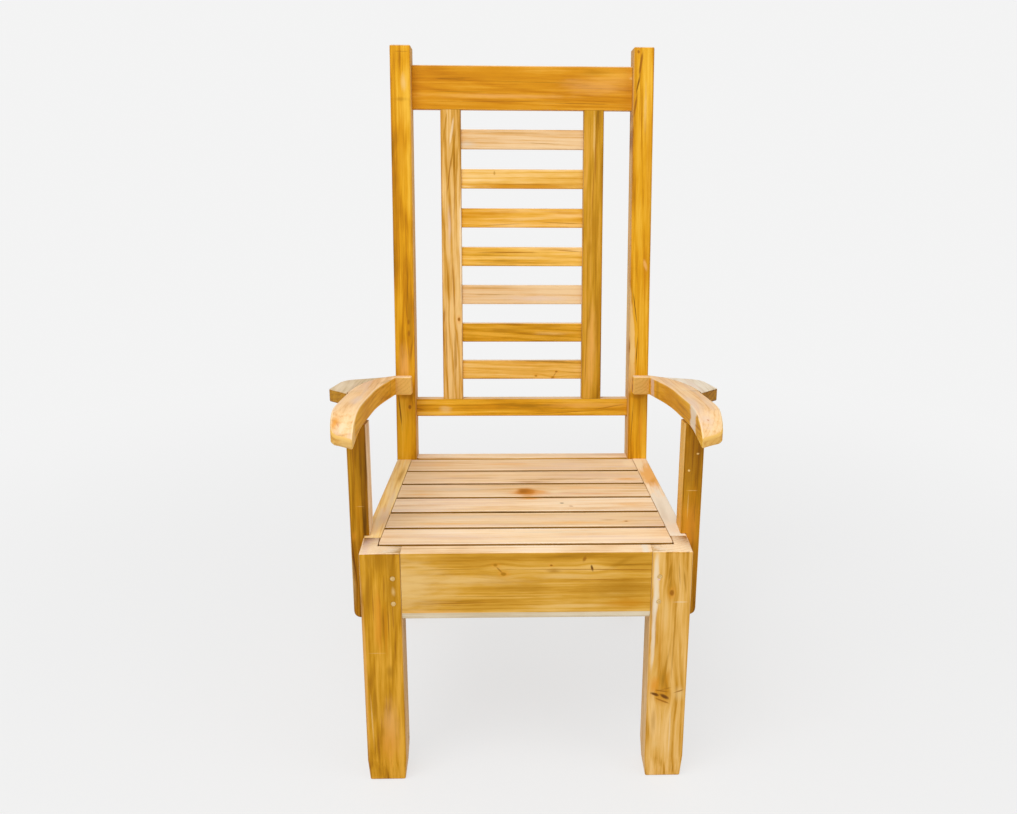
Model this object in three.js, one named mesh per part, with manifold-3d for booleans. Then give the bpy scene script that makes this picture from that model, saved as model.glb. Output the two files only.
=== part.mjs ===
// A high-back slatted planter's chair in oiled hardwood, in millimetres.
// +Y runs to the back and +Z is up. Left and right are as seen from the front, so right is +X.
// While it is drawn, y = 0 is the front face of the front legs and z = 0 is the floor.
// The last lines slide the whole chair so that its footprint box is centred on the origin.
import * as THREE from 'three';
import { mergeVertices } from 'three/addons/utils/BufferGeometryUtils.js';
import Module from 'manifold-3d';

const wasm = await Module();
wasm.setup();

// Fits
const fit = 0.3;
const overrun = 20;
const curveSteps = 16;
const roundSteps = 16;

// Seat and stance
const seatHeight = 420;
const seatSlope = THREE.MathUtils.degToRad(1.8);
const frontWidth = 530;
const rearWidth = 489;
const seatDepth = 456;

// Front legs
const legWidth = 65;
const legDepth = 65;
const footTaperHeight = 40;
const footTaperIn = 3;

// Back posts
const postWidth = 38;
const postDepth = 56;
const postRise = 780;
const recline = THREE.MathUtils.degToRad(8);
const kneeDrop = 132;
const kneeBlend = 75;
const footSetback = 114;
const footDepth = 48;

// Seat frame
const railThick = 28;
const railHeight = 92;
const apronThick = 30;
const apronHeight = 117;
const apronBevelRise = 12;
const apronBevelRun = 3;
const apronInset = 1;
const rearApronThick = 28;
const rearApronHeight = 92;

// Seat slats and what carries them
const slatCount = 6;
const slatThick = 20;
const slatGap = 8;
const slatEndGap = 1;
const bearerWidth = 22;
const bearerHeight = 24;
const bearerEndGap = 4;
const middleBearerWidth = 42;
const middleBearerHeight = 40;
const housingDepth = 8;

// Seat frame tenons
const tenonThick = 10;
const apronTenonLength = 36;
const apronTenonTop = 26;
const apronTenonHeight = 72;
const railTenonLength = 34;
const railRearTenonLength = 30;
const rearApronTenonLength = 14;
const railTenonTop = 27;
const railTenonHeight = 54;

// Pegs through the seat tenons
const pegRadius = 3.8;
const pegLength = 26;
const pegSide = 13;
const pegDrops = [43.5, 88];
const railPegDrop = 54;
const railPegRadius = 3.2;
const railPegLength = 20;

// Back panel
const panelSetback = 22;
const panelThick = 26;
const crestDrop = 33;
const crestHeight = 80;
const lowRailTop = 116;
const lowRailHeight = 34;
const panelTenonThick = 10;
const panelTenonLength = 22;
const panelTenonShoulder = 6;
const stileWidth = 38;
const stileSpread = 308;
const stileTenonLength = 16;
const stileTenonShoulder = 6;
const backSlatCount = 7;
const backSlatHeight = 36.5;
const backSlatThick = 14;
const backSlatPitch = 73.3;
const backSlatTopGap = 36;
const backSlatTenonLength = 10;
const backSlatTenonShoulder = 3;

// Arms
const armThick = 35.5;
const armHeelRise = 171.3;
const armRise = 71;
const armBend = 60;
const armCrown = 6;
const armInset = 2;
const armBandWidth = 42;
const noseReach = 70;
const noseSetback = 32;
const noseNarrowing = 5;
const noseEdge = 15;
const noseRoll = 75;
const noseRound = 7;
const noseCorner = 12;
const armSweepStart = 200;
const heelDepth = 26;
const heelInset = 4;
const wingReach = 39;
const wingThick = 23;
const wingRearInset = 9;
const wingRearDrop = 14;
const wingTipFromFront = 256;
const wingRootFromFront = 194;
const armTenonWidth = 18;
const armTenonHeight = 20;
const armTenonLength = 20;
const tongueThick = 6;
const tongueWidth = 30;
const tongueLength = 56;
const tongueMiddle = 320;

// Arm posts
const armPostLap = 10;
const armPostThick = 32;
const armPostDepth = 50;
const armPostFront = 74;
const armPostDrop = 150;
const armPostRound = 14;
const postTenonWidth = 16;
const postTenonDepth = 32;
const postTenonHeight = 22;
const armPegRadius = 3.6;
const armPegLength = 34;

// Screws and their plugs
const screwHeadRadius = 4.4;
const screwHeadHeight = 3.4;
const screwShankRadius = 2.2;
const screwTipRadius = 0.6;
const screwTipHeight = 7;
const driveRecess = 1.5;
const driveRadius = 2;
const plugRadius = 5;
const plugLength = 8;
const armPostScrewLength = 38;
const armPostScrewDrops = [28, 68];
const bearerScrewLength = 38;
const bearerScrewDrop = 13;
const bearerScrewInset = 80;
const headSink = 1;

// Derived places
const slopeRun = Math.tan(seatSlope);
const halfFront = frontWidth / 2;
const halfRear = rearWidth / 2;
const legInner = halfFront - legWidth;
const postInner = halfRear - postWidth;
const taperRun = (halfFront - halfRear) / (seatDepth - legDepth);
const rearSeatHeight = seatHeight - seatDepth * slopeRun;
const kneeHeight = rearSeatHeight - kneeDrop;
const apronRear = apronInset + apronThick;
const firstSlat = apronRear + slatGap;
const slatEnd = seatDepth - fit;
const slatPitch = (slatEnd - firstSlat + slatGap) / slatCount;
const slatWidth = slatPitch - slatGap;
const rearApronFront = slatEnd + slatGap;
const rearApronBack = rearApronFront + rearApronThick;
const slatUnder = -slatThick - fit;
const armPostInner = halfFront - armPostLap;
const armPostOuter = armPostInner + armPostThick;
const armInner = armPostInner + armInset;
const armHeelTop = rearSeatHeight + armHeelRise;

const seatTop = (y) => seatHeight - y * slopeRun;
const railOuter = (y) => halfFront - (y - legDepth) * taperRun;
const railInner = (y) => railOuter(y) - railThick;

// Wood and metal finishes
function wood(color, roughness = 0.55) {
  return new THREE.MeshStandardMaterial({ color, roughness, metalness: 0 });
}

const honey = () => wood(0xd9962f);
const amber = () => wood(0xd68c28);
const cream = () => wood(0xe6bd8c);
const pale = () => wood(0xe9c793, 0.6);
const brass = () => new THREE.MeshStandardMaterial({ color: 0xb08d4a, roughness: 0.4, metalness: 0.9 });

// Solid helpers
function toSolid(geometry, matrix = new THREE.Matrix4()) {
  const bare = geometry.clone();
  bare.deleteAttribute('normal');
  bare.deleteAttribute('uv');
  const merged = mergeVertices(bare).applyMatrix4(matrix);
  return new wasm.Manifold(new wasm.Mesh({
    numProp: 3,
    vertProperties: new Float32Array(merged.attributes.position.array),
    triVerts: new Uint32Array(merged.index.array),
  }));
}

function toGeometry(solid) {
  const mesh = solid.getMesh();
  const geometry = new THREE.BufferGeometry();
  const positions = new Float32Array(mesh.vertProperties);
  geometry.setAttribute('position', new THREE.BufferAttribute(positions, 3));
  geometry.setIndex(new THREE.BufferAttribute(new Uint32Array(mesh.triVerts), 1));
  geometry.computeVertexNormals();
  return geometry;
}

function join(solids) {
  return solids.reduce((whole, next) => whole.add(next));
}

function cut(solid, tools) {
  return tools.reduce((rest, tool) => rest.subtract(tool), solid);
}

function box(x, y, z, grow = 0) {
  const size = [x, y, z].map((range) => range[1] - range[0] + 2 * grow);
  const geometry = new THREE.BoxGeometry(...size);
  geometry.translate((x[0] + x[1]) / 2, (y[0] + y[1]) / 2, (z[0] + z[1]) / 2);
  return geometry;
}

// An outline of [u, v] points or a Shape, extruded along its normal
function extrude(outline, depth) {
  const shape = outline instanceof THREE.Shape ? outline : polygon(outline);
  return new THREE.ExtrudeGeometry(shape, { depth, bevelEnabled: false, curveSegments: curveSteps });
}

// A plan outline in x and y, standing from z[0] to z[1]
function plan(outline, z) {
  const geometry = extrude(outline, z[1] - z[0]);
  geometry.translate(0, 0, z[0]);
  return geometry;
}

// A front outline in x and z, reaching from y[0] to y[1]
function front(outline, y) {
  const geometry = extrude(outline, y[1] - y[0]);
  geometry.rotateX(Math.PI / 2);
  geometry.translate(0, y[1], 0);
  return geometry;
}

// A side outline in y and z, reaching from x[0] to x[1]
function side(outline, x) {
  const geometry = extrude(outline, x[1] - x[0]);
  geometry.translate(0, 0, x[0]);
  geometry.applyMatrix4(new THREE.Matrix4().makeBasis(
    new THREE.Vector3(0, 1, 0),
    new THREE.Vector3(0, 0, 1),
    new THREE.Vector3(1, 0, 0),
  ));
  return geometry;
}

function polygon(points) {
  return new THREE.Shape(points.map(([u, v]) => new THREE.Vector2(u, v)));
}

// A round bar from one point to another
function bar(from, to, radius, grow = 0) {
  const start = new THREE.Vector3(...from);
  const end = new THREE.Vector3(...to);
  const axis = end.clone().sub(start);
  const width = radius + grow;
  const geometry = new THREE.CylinderGeometry(width, width, axis.length() + 2 * grow, roundSteps);
  const turn = new THREE.Quaternion().setFromUnitVectors(new THREE.Vector3(0, 1, 0), axis.normalize());
  geometry.applyQuaternion(turn);
  geometry.translate(...start.add(end).multiplyScalar(0.5).toArray());
  return geometry;
}

// A countersunk wood screw whose head lies at one point and whose tip points along a direction
function screw(head, direction, length, grow = 0) {
  const shank = screwShankRadius + grow;
  const profile = [
    [0, driveRecess],
    [driveRadius, driveRecess],
    [driveRadius, 0],
    [screwHeadRadius, 0],
    [shank, screwHeadHeight],
    [shank, length - screwTipHeight],
    [screwTipRadius, length],
    [0, length],
  ];
  const hole = [
    [0, -overrun],
    [screwHeadRadius + grow, -overrun],
    [screwHeadRadius + grow, grow],
    [shank, screwHeadHeight + grow],
    [shank, length + grow],
    [0, length + grow],
  ];
  const points = (grow > 0 ? hole : profile).map(([radius, along]) => new THREE.Vector2(radius, along));
  const geometry = new THREE.LatheGeometry(points, roundSteps);
  const turn = new THREE.Quaternion();
  turn.setFromUnitVectors(new THREE.Vector3(0, 1, 0), new THREE.Vector3(...direction));
  geometry.applyQuaternion(turn);
  geometry.translate(...head);
  return toSolid(geometry);
}

// The seat plane falls to the back, so what is drawn level at z = 0 is dropped with y
const seatFall = new THREE.Matrix4().set(
  1, 0, 0, 0,
  0, 1, 0, 0,
  0, -slopeRun, 1, seatHeight,
  0, 0, 0, 1,
);

// The sides of the seat draw in to the back, mirrored for the left and right sides
function sideTaper(hand) {
  return new THREE.Matrix4().set(
    hand, -hand * taperRun, 0, hand * legDepth * taperRun,
    0, 1, 0, 0,
    0, 0, 1, 0,
    0, 0, 0, 1,
  );
}

// A solid drawn for the right side, carried over to the given side
function handed(solid, hand) {
  return hand > 0 ? solid : solid.mirror([1, 0, 0]);
}

const chair = new THREE.Group();
const frame = new THREE.Group();
const back = new THREE.Group();
chair.add(frame);
frame.add(back);

function add(parent, name, solid, material) {
  const mesh = new THREE.Mesh(toGeometry(solid), material);
  mesh.name = name;
  parent.add(mesh);
  return mesh;
}

// The back panel's own frame lies in the front faces of the posts and stands at the seat's rear
back.position.set(0, seatDepth, rearSeatHeight);
back.rotation.x = -recline;
back.updateMatrix();
const backPlace = back.matrix.clone();

// Seat frame tenons, drawn for the right side and level with the seat plane
const apronTenonFront = apronInset + (apronThick - tenonThick) / 2;
const apronTenonY = [apronTenonFront, apronTenonFront + tenonThick];
const apronTenonZ = [-apronTenonTop - apronTenonHeight, -apronTenonTop];
const railTenonZ = [-railTenonTop - railTenonHeight, -railTenonTop];
const railTenonX = [halfFront - (railThick + tenonThick) / 2, halfFront - (railThick - tenonThick) / 2];
const rearTenonFront = rearApronFront + (rearApronThick - tenonThick) / 2;
const rearTenonY = [rearTenonFront, rearTenonFront + tenonThick];
const frontTenonY = [legDepth - railTenonLength, legDepth + overrun];
const rearRailTenonY = [seatDepth - overrun, seatDepth + railRearTenonLength];

const apronTenon = (grow) => toSolid(
  box([legInner - overrun, legInner + apronTenonLength], apronTenonY, apronTenonZ, grow),
  new THREE.Matrix4().makeTranslation(0, 0, seatHeight),
);

function railTenons(grow) {
  const place = seatFall.clone().multiply(sideTaper(1));
  return [frontTenonY, rearRailTenonY].map((y) => toSolid(box(railTenonX, y, railTenonZ, grow), place));
}

const rearApronTenon = (grow) => toSolid(
  box([postInner - overrun, postInner + rearApronTenonLength], rearTenonY, railTenonZ, grow),
  seatFall,
);

// Pegs that pin the tenons, drawn for the right side
const frontPegX = legInner + pegSide;
const frontPegs = (grow) => pegDrops.map((drop) => toSolid(
  bar([frontPegX, 0, seatHeight - drop], [frontPegX, pegLength, seatHeight - drop], pegRadius, grow),
));
const railPegY = [legDepth - pegSide, seatDepth + pegSide];

function railPegs(grow) {
  return railPegY.map((y) => {
    const z = seatTop(y) - railPegDrop;
    const outside = y < seatDepth ? halfFront : halfRear;
    return toSolid(bar([outside, y, z], [outside - railPegLength, y, z], railPegRadius, grow));
  });
}

// Seat slat outline with its ends drawn in between the side rails
const slatStart = (index) => firstSlat + index * slatPitch;

function slatOutline(index) {
  const ys = [slatStart(index), slatStart(index) + slatWidth];
  const halves = ys.map((y) => railInner(y) - slatEndGap);
  return [[-halves[0], ys[0]], [halves[0], ys[0]], [halves[1], ys[1]], [-halves[1], ys[1]]];
}

const seatSlat = (index) => toSolid(plan(slatOutline(index), [-slatThick, 0]), seatFall);

// Arm outlines: a curved band with a paddle wing outside its rear half
const armRearY = seatDepth - fit;
const armSlopeRun = armRise / (armRearY - armBend);
const armTopAt = (y) => armHeelTop + (armRearY - y) * armSlopeRun;
const armCrest = armTopAt(armBend) + armCrown;
const heelInner = postInner + heelInset;
const armOuter = armInner + armBandWidth;
const noseSlant = noseSetback / armBandWidth;

function armBandShape() {
  const heelFront = armRearY - heelDepth;
  const heelOuter = halfRear - heelInset;
  const sweep = heelFront - armSweepStart;
  const noseOuter = armOuter - noseNarrowing;
  const cornerY = (noseOuter - armInner) * noseSlant - noseReach;
  const easeShare = 0.3;
  const pullShare = 0.4;
  const shape = new THREE.Shape();
  shape.moveTo(heelInner, armRearY);
  shape.lineTo(heelInner, heelFront);
  shape.lineTo(heelOuter, heelFront);
  shape.bezierCurveTo(
    heelOuter + (armInner - heelOuter) * pullShare, heelFront - sweep * easeShare,
    armInner, armSweepStart + sweep * pullShare,
    armInner, armSweepStart,
  );
  shape.lineTo(armInner, -noseReach - overrun);
  shape.lineTo(noseOuter - noseCorner, -noseReach - overrun);
  shape.lineTo(noseOuter - noseCorner, cornerY - noseCorner * noseSlant);
  shape.quadraticCurveTo(noseOuter, cornerY, noseOuter, cornerY + noseCorner);
  shape.bezierCurveTo(
    armOuter, 0,
    armOuter, armPostFront,
    armOuter, armSweepStart,
  );
  shape.bezierCurveTo(
    armOuter, armSweepStart + sweep * pullShare,
    armOuter - armBandWidth * easeShare, heelFront - heelDepth,
    halfRear, armRearY,
  );
  shape.closePath();
  return shape;
}

// The wing's outline overlaps the band, which is then cut away from it
function wingShape() {
  const tipX = armOuter + wingReach;
  const rearX = tipX - wingRearInset;
  const rearY = armRearY - 2 * heelDepth;
  const shape = new THREE.Shape();
  shape.moveTo(halfRear + fit, armRearY - wingRearDrop);
  shape.lineTo(rearX - heelDepth, rearY - heelInset);
  shape.quadraticCurveTo(rearX, rearY - wingRearDrop, rearX + heelInset, rearY - 2 * heelDepth);
  shape.lineTo(tipX, wingTipFromFront);
  shape.lineTo(armOuter - fit, wingRootFromFront);
  shape.lineTo(armOuter - armBandWidth / 2, wingTipFromFront);
  shape.lineTo(halfRear, armRearY - heelDepth);
  shape.closePath();
  return shape;
}

// The arm's side outline climbs straight from the heel and levels out past the bend
function armSideShape(thick) {
  const front = -noseReach - overrun;
  const rear = armRearY + overrun;
  const easeRun = armCrown / armSlopeRun;
  const shape = new THREE.Shape();
  shape.moveTo(rear, armTopAt(rear));
  shape.lineTo(armBend, armTopAt(armBend));
  shape.quadraticCurveTo(armBend - easeRun, armCrest, armBend - 2 * easeRun, armCrest);
  shape.lineTo(front, armCrest);
  shape.lineTo(front, armCrest - thick);
  shape.lineTo(armBend - 2 * easeRun, armCrest - thick);
  shape.quadraticCurveTo(armBend - easeRun, armCrest - thick, armBend, armTopAt(armBend) - thick);
  shape.lineTo(rear, armTopAt(rear) - thick);
  shape.closePath();
  return shape;
}

// The nose rolls over to a thin front edge, which slants back to the outside
function noseShape() {
  const bottom = armCrest - armThick;
  const rear = armRearY + overrun;
  const steepShare = 0.3;
  const shape = new THREE.Shape();
  shape.moveTo(rear, armCrest);
  shape.lineTo(noseRoll - noseReach, armCrest);
  shape.quadraticCurveTo(noseRoll * steepShare - noseReach, armCrest, -noseReach, bottom + noseEdge);
  shape.lineTo(-noseReach, bottom + noseRound);
  shape.quadraticCurveTo(-noseReach, bottom, noseRound - noseReach, bottom);
  shape.lineTo(rear, armHeelTop - 2 * armThick);
  shape.closePath();
  return shape;
}

const noseSkew = new THREE.Matrix4().set(
  1, 0, 0, 0,
  noseSlant, 1, 0, -noseSlant * armInner,
  0, 0, 1, 0,
  0, 0, 0, 1,
);
const armSpan = [postInner - overrun, armOuter + 2 * wingReach];
const armLevel = [armHeelTop - 2 * armThick, armCrest + overrun];
const nose = toSolid(side(noseShape(), [armInner - overrun, armOuter + overrun]), noseSkew);
const noseSpace = toSolid(box(armSpan, [-noseReach - 2 * overrun, armPostFront], armLevel));
const bandPlan = toSolid(plan(armBandShape(), armLevel));
const armBand = bandPlan
  .intersect(toSolid(side(armSideShape(armThick), armSpan)))
  .subtract(noseSpace.subtract(nose));
const bandGrown = join([
  [0, 0], [fit, 0], [-fit, 0], [0, fit], [0, -fit],
].map(([x, y]) => bandPlan.translate([x, y, 0])));
const wingBody = toSolid(plan(wingShape(), armLevel))
  .intersect(toSolid(side(armSideShape(wingThick), armSpan)))
  .subtract(bandGrown);

// The loose tongue that holds the wing to the band, and the arm's heel tenon
function wingTongue(grow) {
  const z = armTopAt(tongueMiddle) - wingThick / 2;
  const x = armOuter - 2 * heelInset;
  return toSolid(box(
    [x - tongueWidth / 2, x + tongueWidth / 2],
    [tongueMiddle - tongueLength / 2, tongueMiddle + tongueLength / 2],
    [z - tongueThick / 2, z + tongueThick / 2],
    grow,
  ));
}

const heelMiddle = (heelInner + halfRear) / 2;
const heelTenonTop = armTopAt(armRearY) - (armThick - armTenonHeight) / 2;
const heelTenon = (grow) => toSolid(box(
  [heelMiddle - armTenonWidth / 2, heelMiddle + armTenonWidth / 2],
  [armRearY - overrun, armRearY + armTenonLength],
  [heelTenonTop - armTenonHeight, heelTenonTop],
  grow,
));

// Arm posts lap over the side rails: a shoulder stands on the rail and the rest runs down outside it
const armPostRear = armPostFront + armPostDepth;
const armPostMiddle = (armPostFront + armPostRear) / 2;
const armPostTop = (y) => armTopAt(y) - armThick - fit;
const armPostFoot = seatTop(armPostFront) - armPostDrop;
const postTenonCentre = (armInner + armPostOuter) / 2;

const postTenon = (grow) => toSolid(box(
  [postTenonCentre - postTenonWidth / 2, postTenonCentre + postTenonWidth / 2],
  [armPostMiddle - postTenonDepth / 2, armPostMiddle + postTenonDepth / 2],
  [armPostTop(armPostMiddle) - overrun, armPostTop(armPostMiddle) + postTenonHeight],
  grow,
));

function armPostBody() {
  const face = new THREE.Shape();
  face.moveTo(armPostInner, armPostFoot);
  face.lineTo(armPostOuter - armPostRound, armPostFoot);
  face.quadraticCurveTo(armPostOuter, armPostFoot, armPostOuter, armPostFoot + armPostRound);
  face.lineTo(armPostOuter, armHeelTop + armRise);
  face.lineTo(armPostInner, armHeelTop + armRise);
  face.closePath();
  const blank = front(face, [armPostFront, armPostRear]);
  const underArm = toSolid(side([
    [armPostFront, 0],
    [armPostRear, 0],
    [armPostRear, armPostTop(armPostRear)],
    [armPostFront, armPostTop(armPostFront)],
  ], [armPostInner, armPostOuter]));
  const lap = toSolid(
    box([0, halfFront + fit], [0, seatDepth], [-2 * armPostDrop, fit]),
    seatFall.clone().multiply(sideTaper(1)),
  );
  return toSolid(blank).intersect(underArm).subtract(lap);
}

// Screws through the arm post into the side rail, and their plugs
const armPostScrewZ = armPostScrewDrops.map((drop) => seatTop(armPostMiddle) - drop);
const armPostScrews = (grow) => armPostScrewZ.map((z) => screw(
  [armPostOuter - plugLength - headSink, armPostMiddle, z],
  [-1, 0, 0],
  armPostScrewLength,
  grow,
));
const armPostPlugs = () => armPostScrewZ.map((z) => toSolid(bar(
  [armPostOuter - plugLength, armPostMiddle, z],
  [armPostOuter - fit, armPostMiddle, z],
  plugRadius,
)));

// The peg driven through the arm's outer side into the arm post's tenon
const armPegZ = armPostTop(armPostMiddle) + postTenonHeight / 2;
const armPeg = (grow) => toSolid(bar(
  [armOuter + grow * overrun, armPostMiddle, armPegZ],
  [armOuter - armPegLength, armPostMiddle, armPegZ],
  armPegRadius,
  grow,
));

// The mouths let a plug's bore run out through the face above it
const armPostMouths = armPostScrewZ.map((z) => toSolid(bar(
  [armPostOuter - plugLength, armPostMiddle, z],
  [armPostOuter + overrun, armPostMiddle, z],
  plugRadius,
  fit,
)));

// Bearers under the slats, with their screws, drawn for the right side
const bearerZ = [slatUnder - bearerHeight, slatUnder];
const bearerInnerAt = (y) => railInner(y) - fit - bearerWidth;

const bearerBody = () => toSolid(
  box(
    [halfFront - railThick - fit - bearerWidth, halfFront - railThick - fit],
    [legDepth + bearerEndGap, seatDepth - bearerEndGap],
    bearerZ,
  ),
  seatFall.clone().multiply(sideTaper(1)),
);

const bearerScrewPlaces = [
  legDepth + bearerEndGap + bearerScrewInset,
  seatDepth - bearerEndGap - bearerScrewInset,
];
const bearerScrews = (grow) => bearerScrewPlaces.map((y) => screw(
  [bearerInnerAt(y) + headSink, y, seatTop(y) + slatUnder - bearerScrewDrop],
  [1, 0, 0],
  bearerScrewLength,
  grow,
));

// Front legs
function legBlank() {
  const x = [legInner, halfFront];
  const y = [0, legDepth];
  const tapered = (range) => [
    [range[0] + footTaperIn, 0],
    [range[1] - footTaperIn, 0],
    [range[1], footTaperHeight],
    [range[1], seatHeight],
    [range[0], seatHeight],
    [range[0], footTaperHeight],
  ];
  return toSolid(front(tapered(x), y)).intersect(toSolid(side(tapered(y), x)));
}

function frontLeg(hand) {
  const notchX = [legInner - overrun, railInner(firstSlat)];
  const notchY = [apronRear, legDepth + overrun];
  const notch = toSolid(box(notchX, notchY, [-slatThick, overrun], fit), seatFall);
  const fall = toSolid(
    box([legInner - overrun, halfFront + overrun], [-overrun, legDepth + overrun], [0, overrun]),
    seatFall,
  );
  const tools = [notch, fall, apronTenon(fit), railTenons(fit)[0], ...frontPegs(fit), ...railPegs(fit)];
  add(frame, `front_leg_${sideName(hand)}`, handed(cut(legBlank(), tools), hand), honey());
}

function sideName(hand) {
  return hand > 0 ? 'right' : 'left';
}

// Back posts: raked foot, upright knee at the seat frame and a reclined upper length
function postShape() {
  const top = [seatDepth + postRise * Math.sin(recline), rearSeatHeight + postRise * Math.cos(recline)];
  const topRear = [top[0] + postDepth * Math.cos(recline), top[1] - postDepth * Math.sin(recline)];
  const rearKnee = seatDepth + postDepth;
  const footFront = seatDepth + footSetback;
  const footRear = footFront + footDepth;
  const blendShare = kneeBlend / kneeHeight;
  const along = (foot, knee) => [knee + (foot - knee) * blendShare, kneeHeight * (1 - blendShare)];
  const frontBlend = along(footFront, seatDepth);
  const rearBlend = along(footRear, rearKnee);
  const shape = new THREE.Shape();
  shape.moveTo(footFront, 0);
  shape.lineTo(...frontBlend);
  shape.quadraticCurveTo(seatDepth, kneeHeight, seatDepth, kneeHeight + kneeBlend / 2);
  shape.lineTo(seatDepth, rearSeatHeight);
  shape.lineTo(...top);
  shape.lineTo(...topRear);
  shape.lineTo(rearKnee + postDepth * Math.sin(recline) / 2, rearSeatHeight);
  shape.lineTo(rearKnee, kneeHeight + kneeBlend / 2);
  shape.quadraticCurveTo(rearKnee, kneeHeight, ...rearBlend);
  shape.lineTo(footRear, 0);
  shape.closePath();
  return shape;
}

// Back panel tenons, in the panel's own frame, drawn for the right side
const panelY = [panelSetback, panelSetback + panelThick];
const panelTenonFront = panelSetback + (panelThick - panelTenonThick) / 2;
const panelTenonY = [panelTenonFront, panelTenonFront + panelTenonThick];
const crestZ = [postRise - crestDrop - crestHeight, postRise - crestDrop];
const lowRailZ = [lowRailTop - lowRailHeight, lowRailTop];

const panelTenons = (grow) => [crestZ, lowRailZ].map((z) => box(
  [postInner - overrun, postInner + panelTenonLength],
  panelTenonY,
  [z[0] + panelTenonShoulder, z[1] - panelTenonShoulder],
  grow,
));

function backPost(hand) {
  const tools = [
    ...railTenons(fit).slice(1),
    rearApronTenon(fit),
    ...railPegs(fit),
    heelTenon(fit),
    ...panelTenons(fit).map((tenon) => toSolid(tenon, backPlace)),
  ];
  const post = cut(toSolid(side(postShape(), [postInner, halfRear])), tools);
  add(frame, `back_post_${sideName(hand)}`, handed(post, hand), honey());
}

// Aprons and side rails
function frontApron() {
  const outline = [
    [apronInset, seatHeight - apronHeight + apronBevelRise],
    [apronInset + apronBevelRun, seatHeight - apronHeight],
    [apronRear, seatHeight - apronHeight],
    [apronRear, seatTop(apronRear)],
    [apronInset, seatTop(apronInset)],
  ];
  const half = legInner - fit;
  const body = toSolid(side(outline, [-half, half]));
  const reach = toSolid(box([half - fit, legInner + apronTenonLength], [0, legDepth], [0, seatHeight]));
  const tenon = apronTenon(0).intersect(reach);
  const whole = join([body, tenon, tenon.mirror([1, 0, 0])]);
  const holes = frontPegs(fit);
  const farHoles = holes.map((hole) => hole.mirror([1, 0, 0]));
  add(frame, 'front_apron', cut(whole, [...holes, ...farHoles, middleBearer(fit)]), honey());
}

function rearApron() {
  const half = postInner - fit;
  const thickness = [rearApronFront, rearApronBack];
  const body = toSolid(box([-half, half], thickness, [-rearApronHeight, 0]), seatFall);
  const reach = toSolid(box([half - fit, halfRear], [seatDepth, rearApronBack], [0, seatHeight]));
  const tenon = rearApronTenon(0).intersect(reach);
  const whole = join([body, tenon, tenon.mirror([1, 0, 0])]);
  add(frame, 'rear_apron', cut(whole, [middleBearer(fit)]), cream());
}

function sideRail(hand) {
  const place = seatFall.clone().multiply(sideTaper(1));
  const y = [legDepth + fit, seatDepth - fit];
  const body = toSolid(box([halfFront - railThick, halfFront], y, [-railHeight, 0]), place);
  const reach = toSolid(box(
    [0, frontWidth],
    [legDepth - railTenonLength, seatDepth + railRearTenonLength],
    [0, seatHeight],
  ));
  const tenons = railTenons(0).map((tenon) => tenon.intersect(reach));
  const tools = [...railPegs(fit), ...armPostScrews(fit), ...bearerScrews(fit)];
  const rail = cut(join([body, ...tenons]), tools);
  add(frame, `side_rail_${sideName(hand)}`, handed(rail, hand), cream());
}

// Seat slats and bearers
function middleBearer(grow) {
  return toSolid(box(
    [-middleBearerWidth / 2, middleBearerWidth / 2],
    [apronRear - housingDepth, rearApronFront + housingDepth],
    [slatUnder - middleBearerHeight, slatUnder],
    grow,
  ), seatFall);
}

function seatSlats() {
  for (let index = 0; index < slatCount; index += 1) {
    add(frame, `seat_slat_${index + 1}`, seatSlat(index), pale());
  }
}

function bearers(hand) {
  const bearer = cut(bearerBody(), bearerScrews(fit));
  add(frame, `seat_bearer_${sideName(hand)}`, handed(bearer, hand), cream());
}

// Back panel: crest rail, lower rail, two stiles and seven slats
const stileX = [stileSpread / 2 - stileWidth, stileSpread / 2];
const stileZ = [lowRailTop, crestZ[0]];

const stileTenon = (grow) => box(
  [stileX[0] + stileTenonShoulder, stileX[1] - stileTenonShoulder],
  panelTenonY,
  [stileZ[0] - stileTenonLength, stileZ[1] + stileTenonLength],
  grow,
);

const backSlatTop = (index) => crestZ[0] - backSlatTopGap - index * backSlatPitch;
const backSlatFront = panelSetback + (panelThick - backSlatThick) / 2;
const backSlatY = [backSlatFront, backSlatFront + backSlatThick];

function backSlatTenon(index, grow) {
  const half = stileX[0] + backSlatTenonLength;
  const top = backSlatTop(index) - backSlatTenonShoulder;
  const bottom = backSlatTop(index) - backSlatHeight + backSlatTenonShoulder;
  const y = [backSlatY[0] + backSlatTenonShoulder, backSlatY[1] - backSlatTenonShoulder];
  return box([-half, half], y, [bottom, top], grow);
}

function panelRail(name, z, material) {
  const half = postInner - fit;
  const body = toSolid(box([-half, half], panelY, z));
  const tenon = toSolid(box(
    [-postInner - panelTenonLength, postInner + panelTenonLength],
    panelTenonY,
    [z[0] + panelTenonShoulder, z[1] - panelTenonShoulder],
  ));
  const mortise = toSolid(stileTenon(fit));
  add(back, name, cut(join([body, tenon]), [mortise, mortise.mirror([1, 0, 0])]), material);
}

function stile(hand) {
  const body = toSolid(box(stileX, panelY, [stileZ[0] + fit, stileZ[1] - fit]));
  const mortises = [];
  for (let index = 0; index < backSlatCount; index += 1) {
    mortises.push(toSolid(backSlatTenon(index, fit)));
  }
  const whole = cut(join([body, toSolid(stileTenon(0))]), mortises);
  add(back, `back_stile_${sideName(hand)}`, handed(whole, hand), honey());
}

function backSlat(index) {
  const half = stileX[0] - fit;
  const top = backSlatTop(index);
  const body = toSolid(box([-half, half], backSlatY, [top - backSlatHeight, top]));
  add(back, `back_slat_${index + 1}`, body.add(toSolid(backSlatTenon(index, 0))), honey());
}

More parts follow.
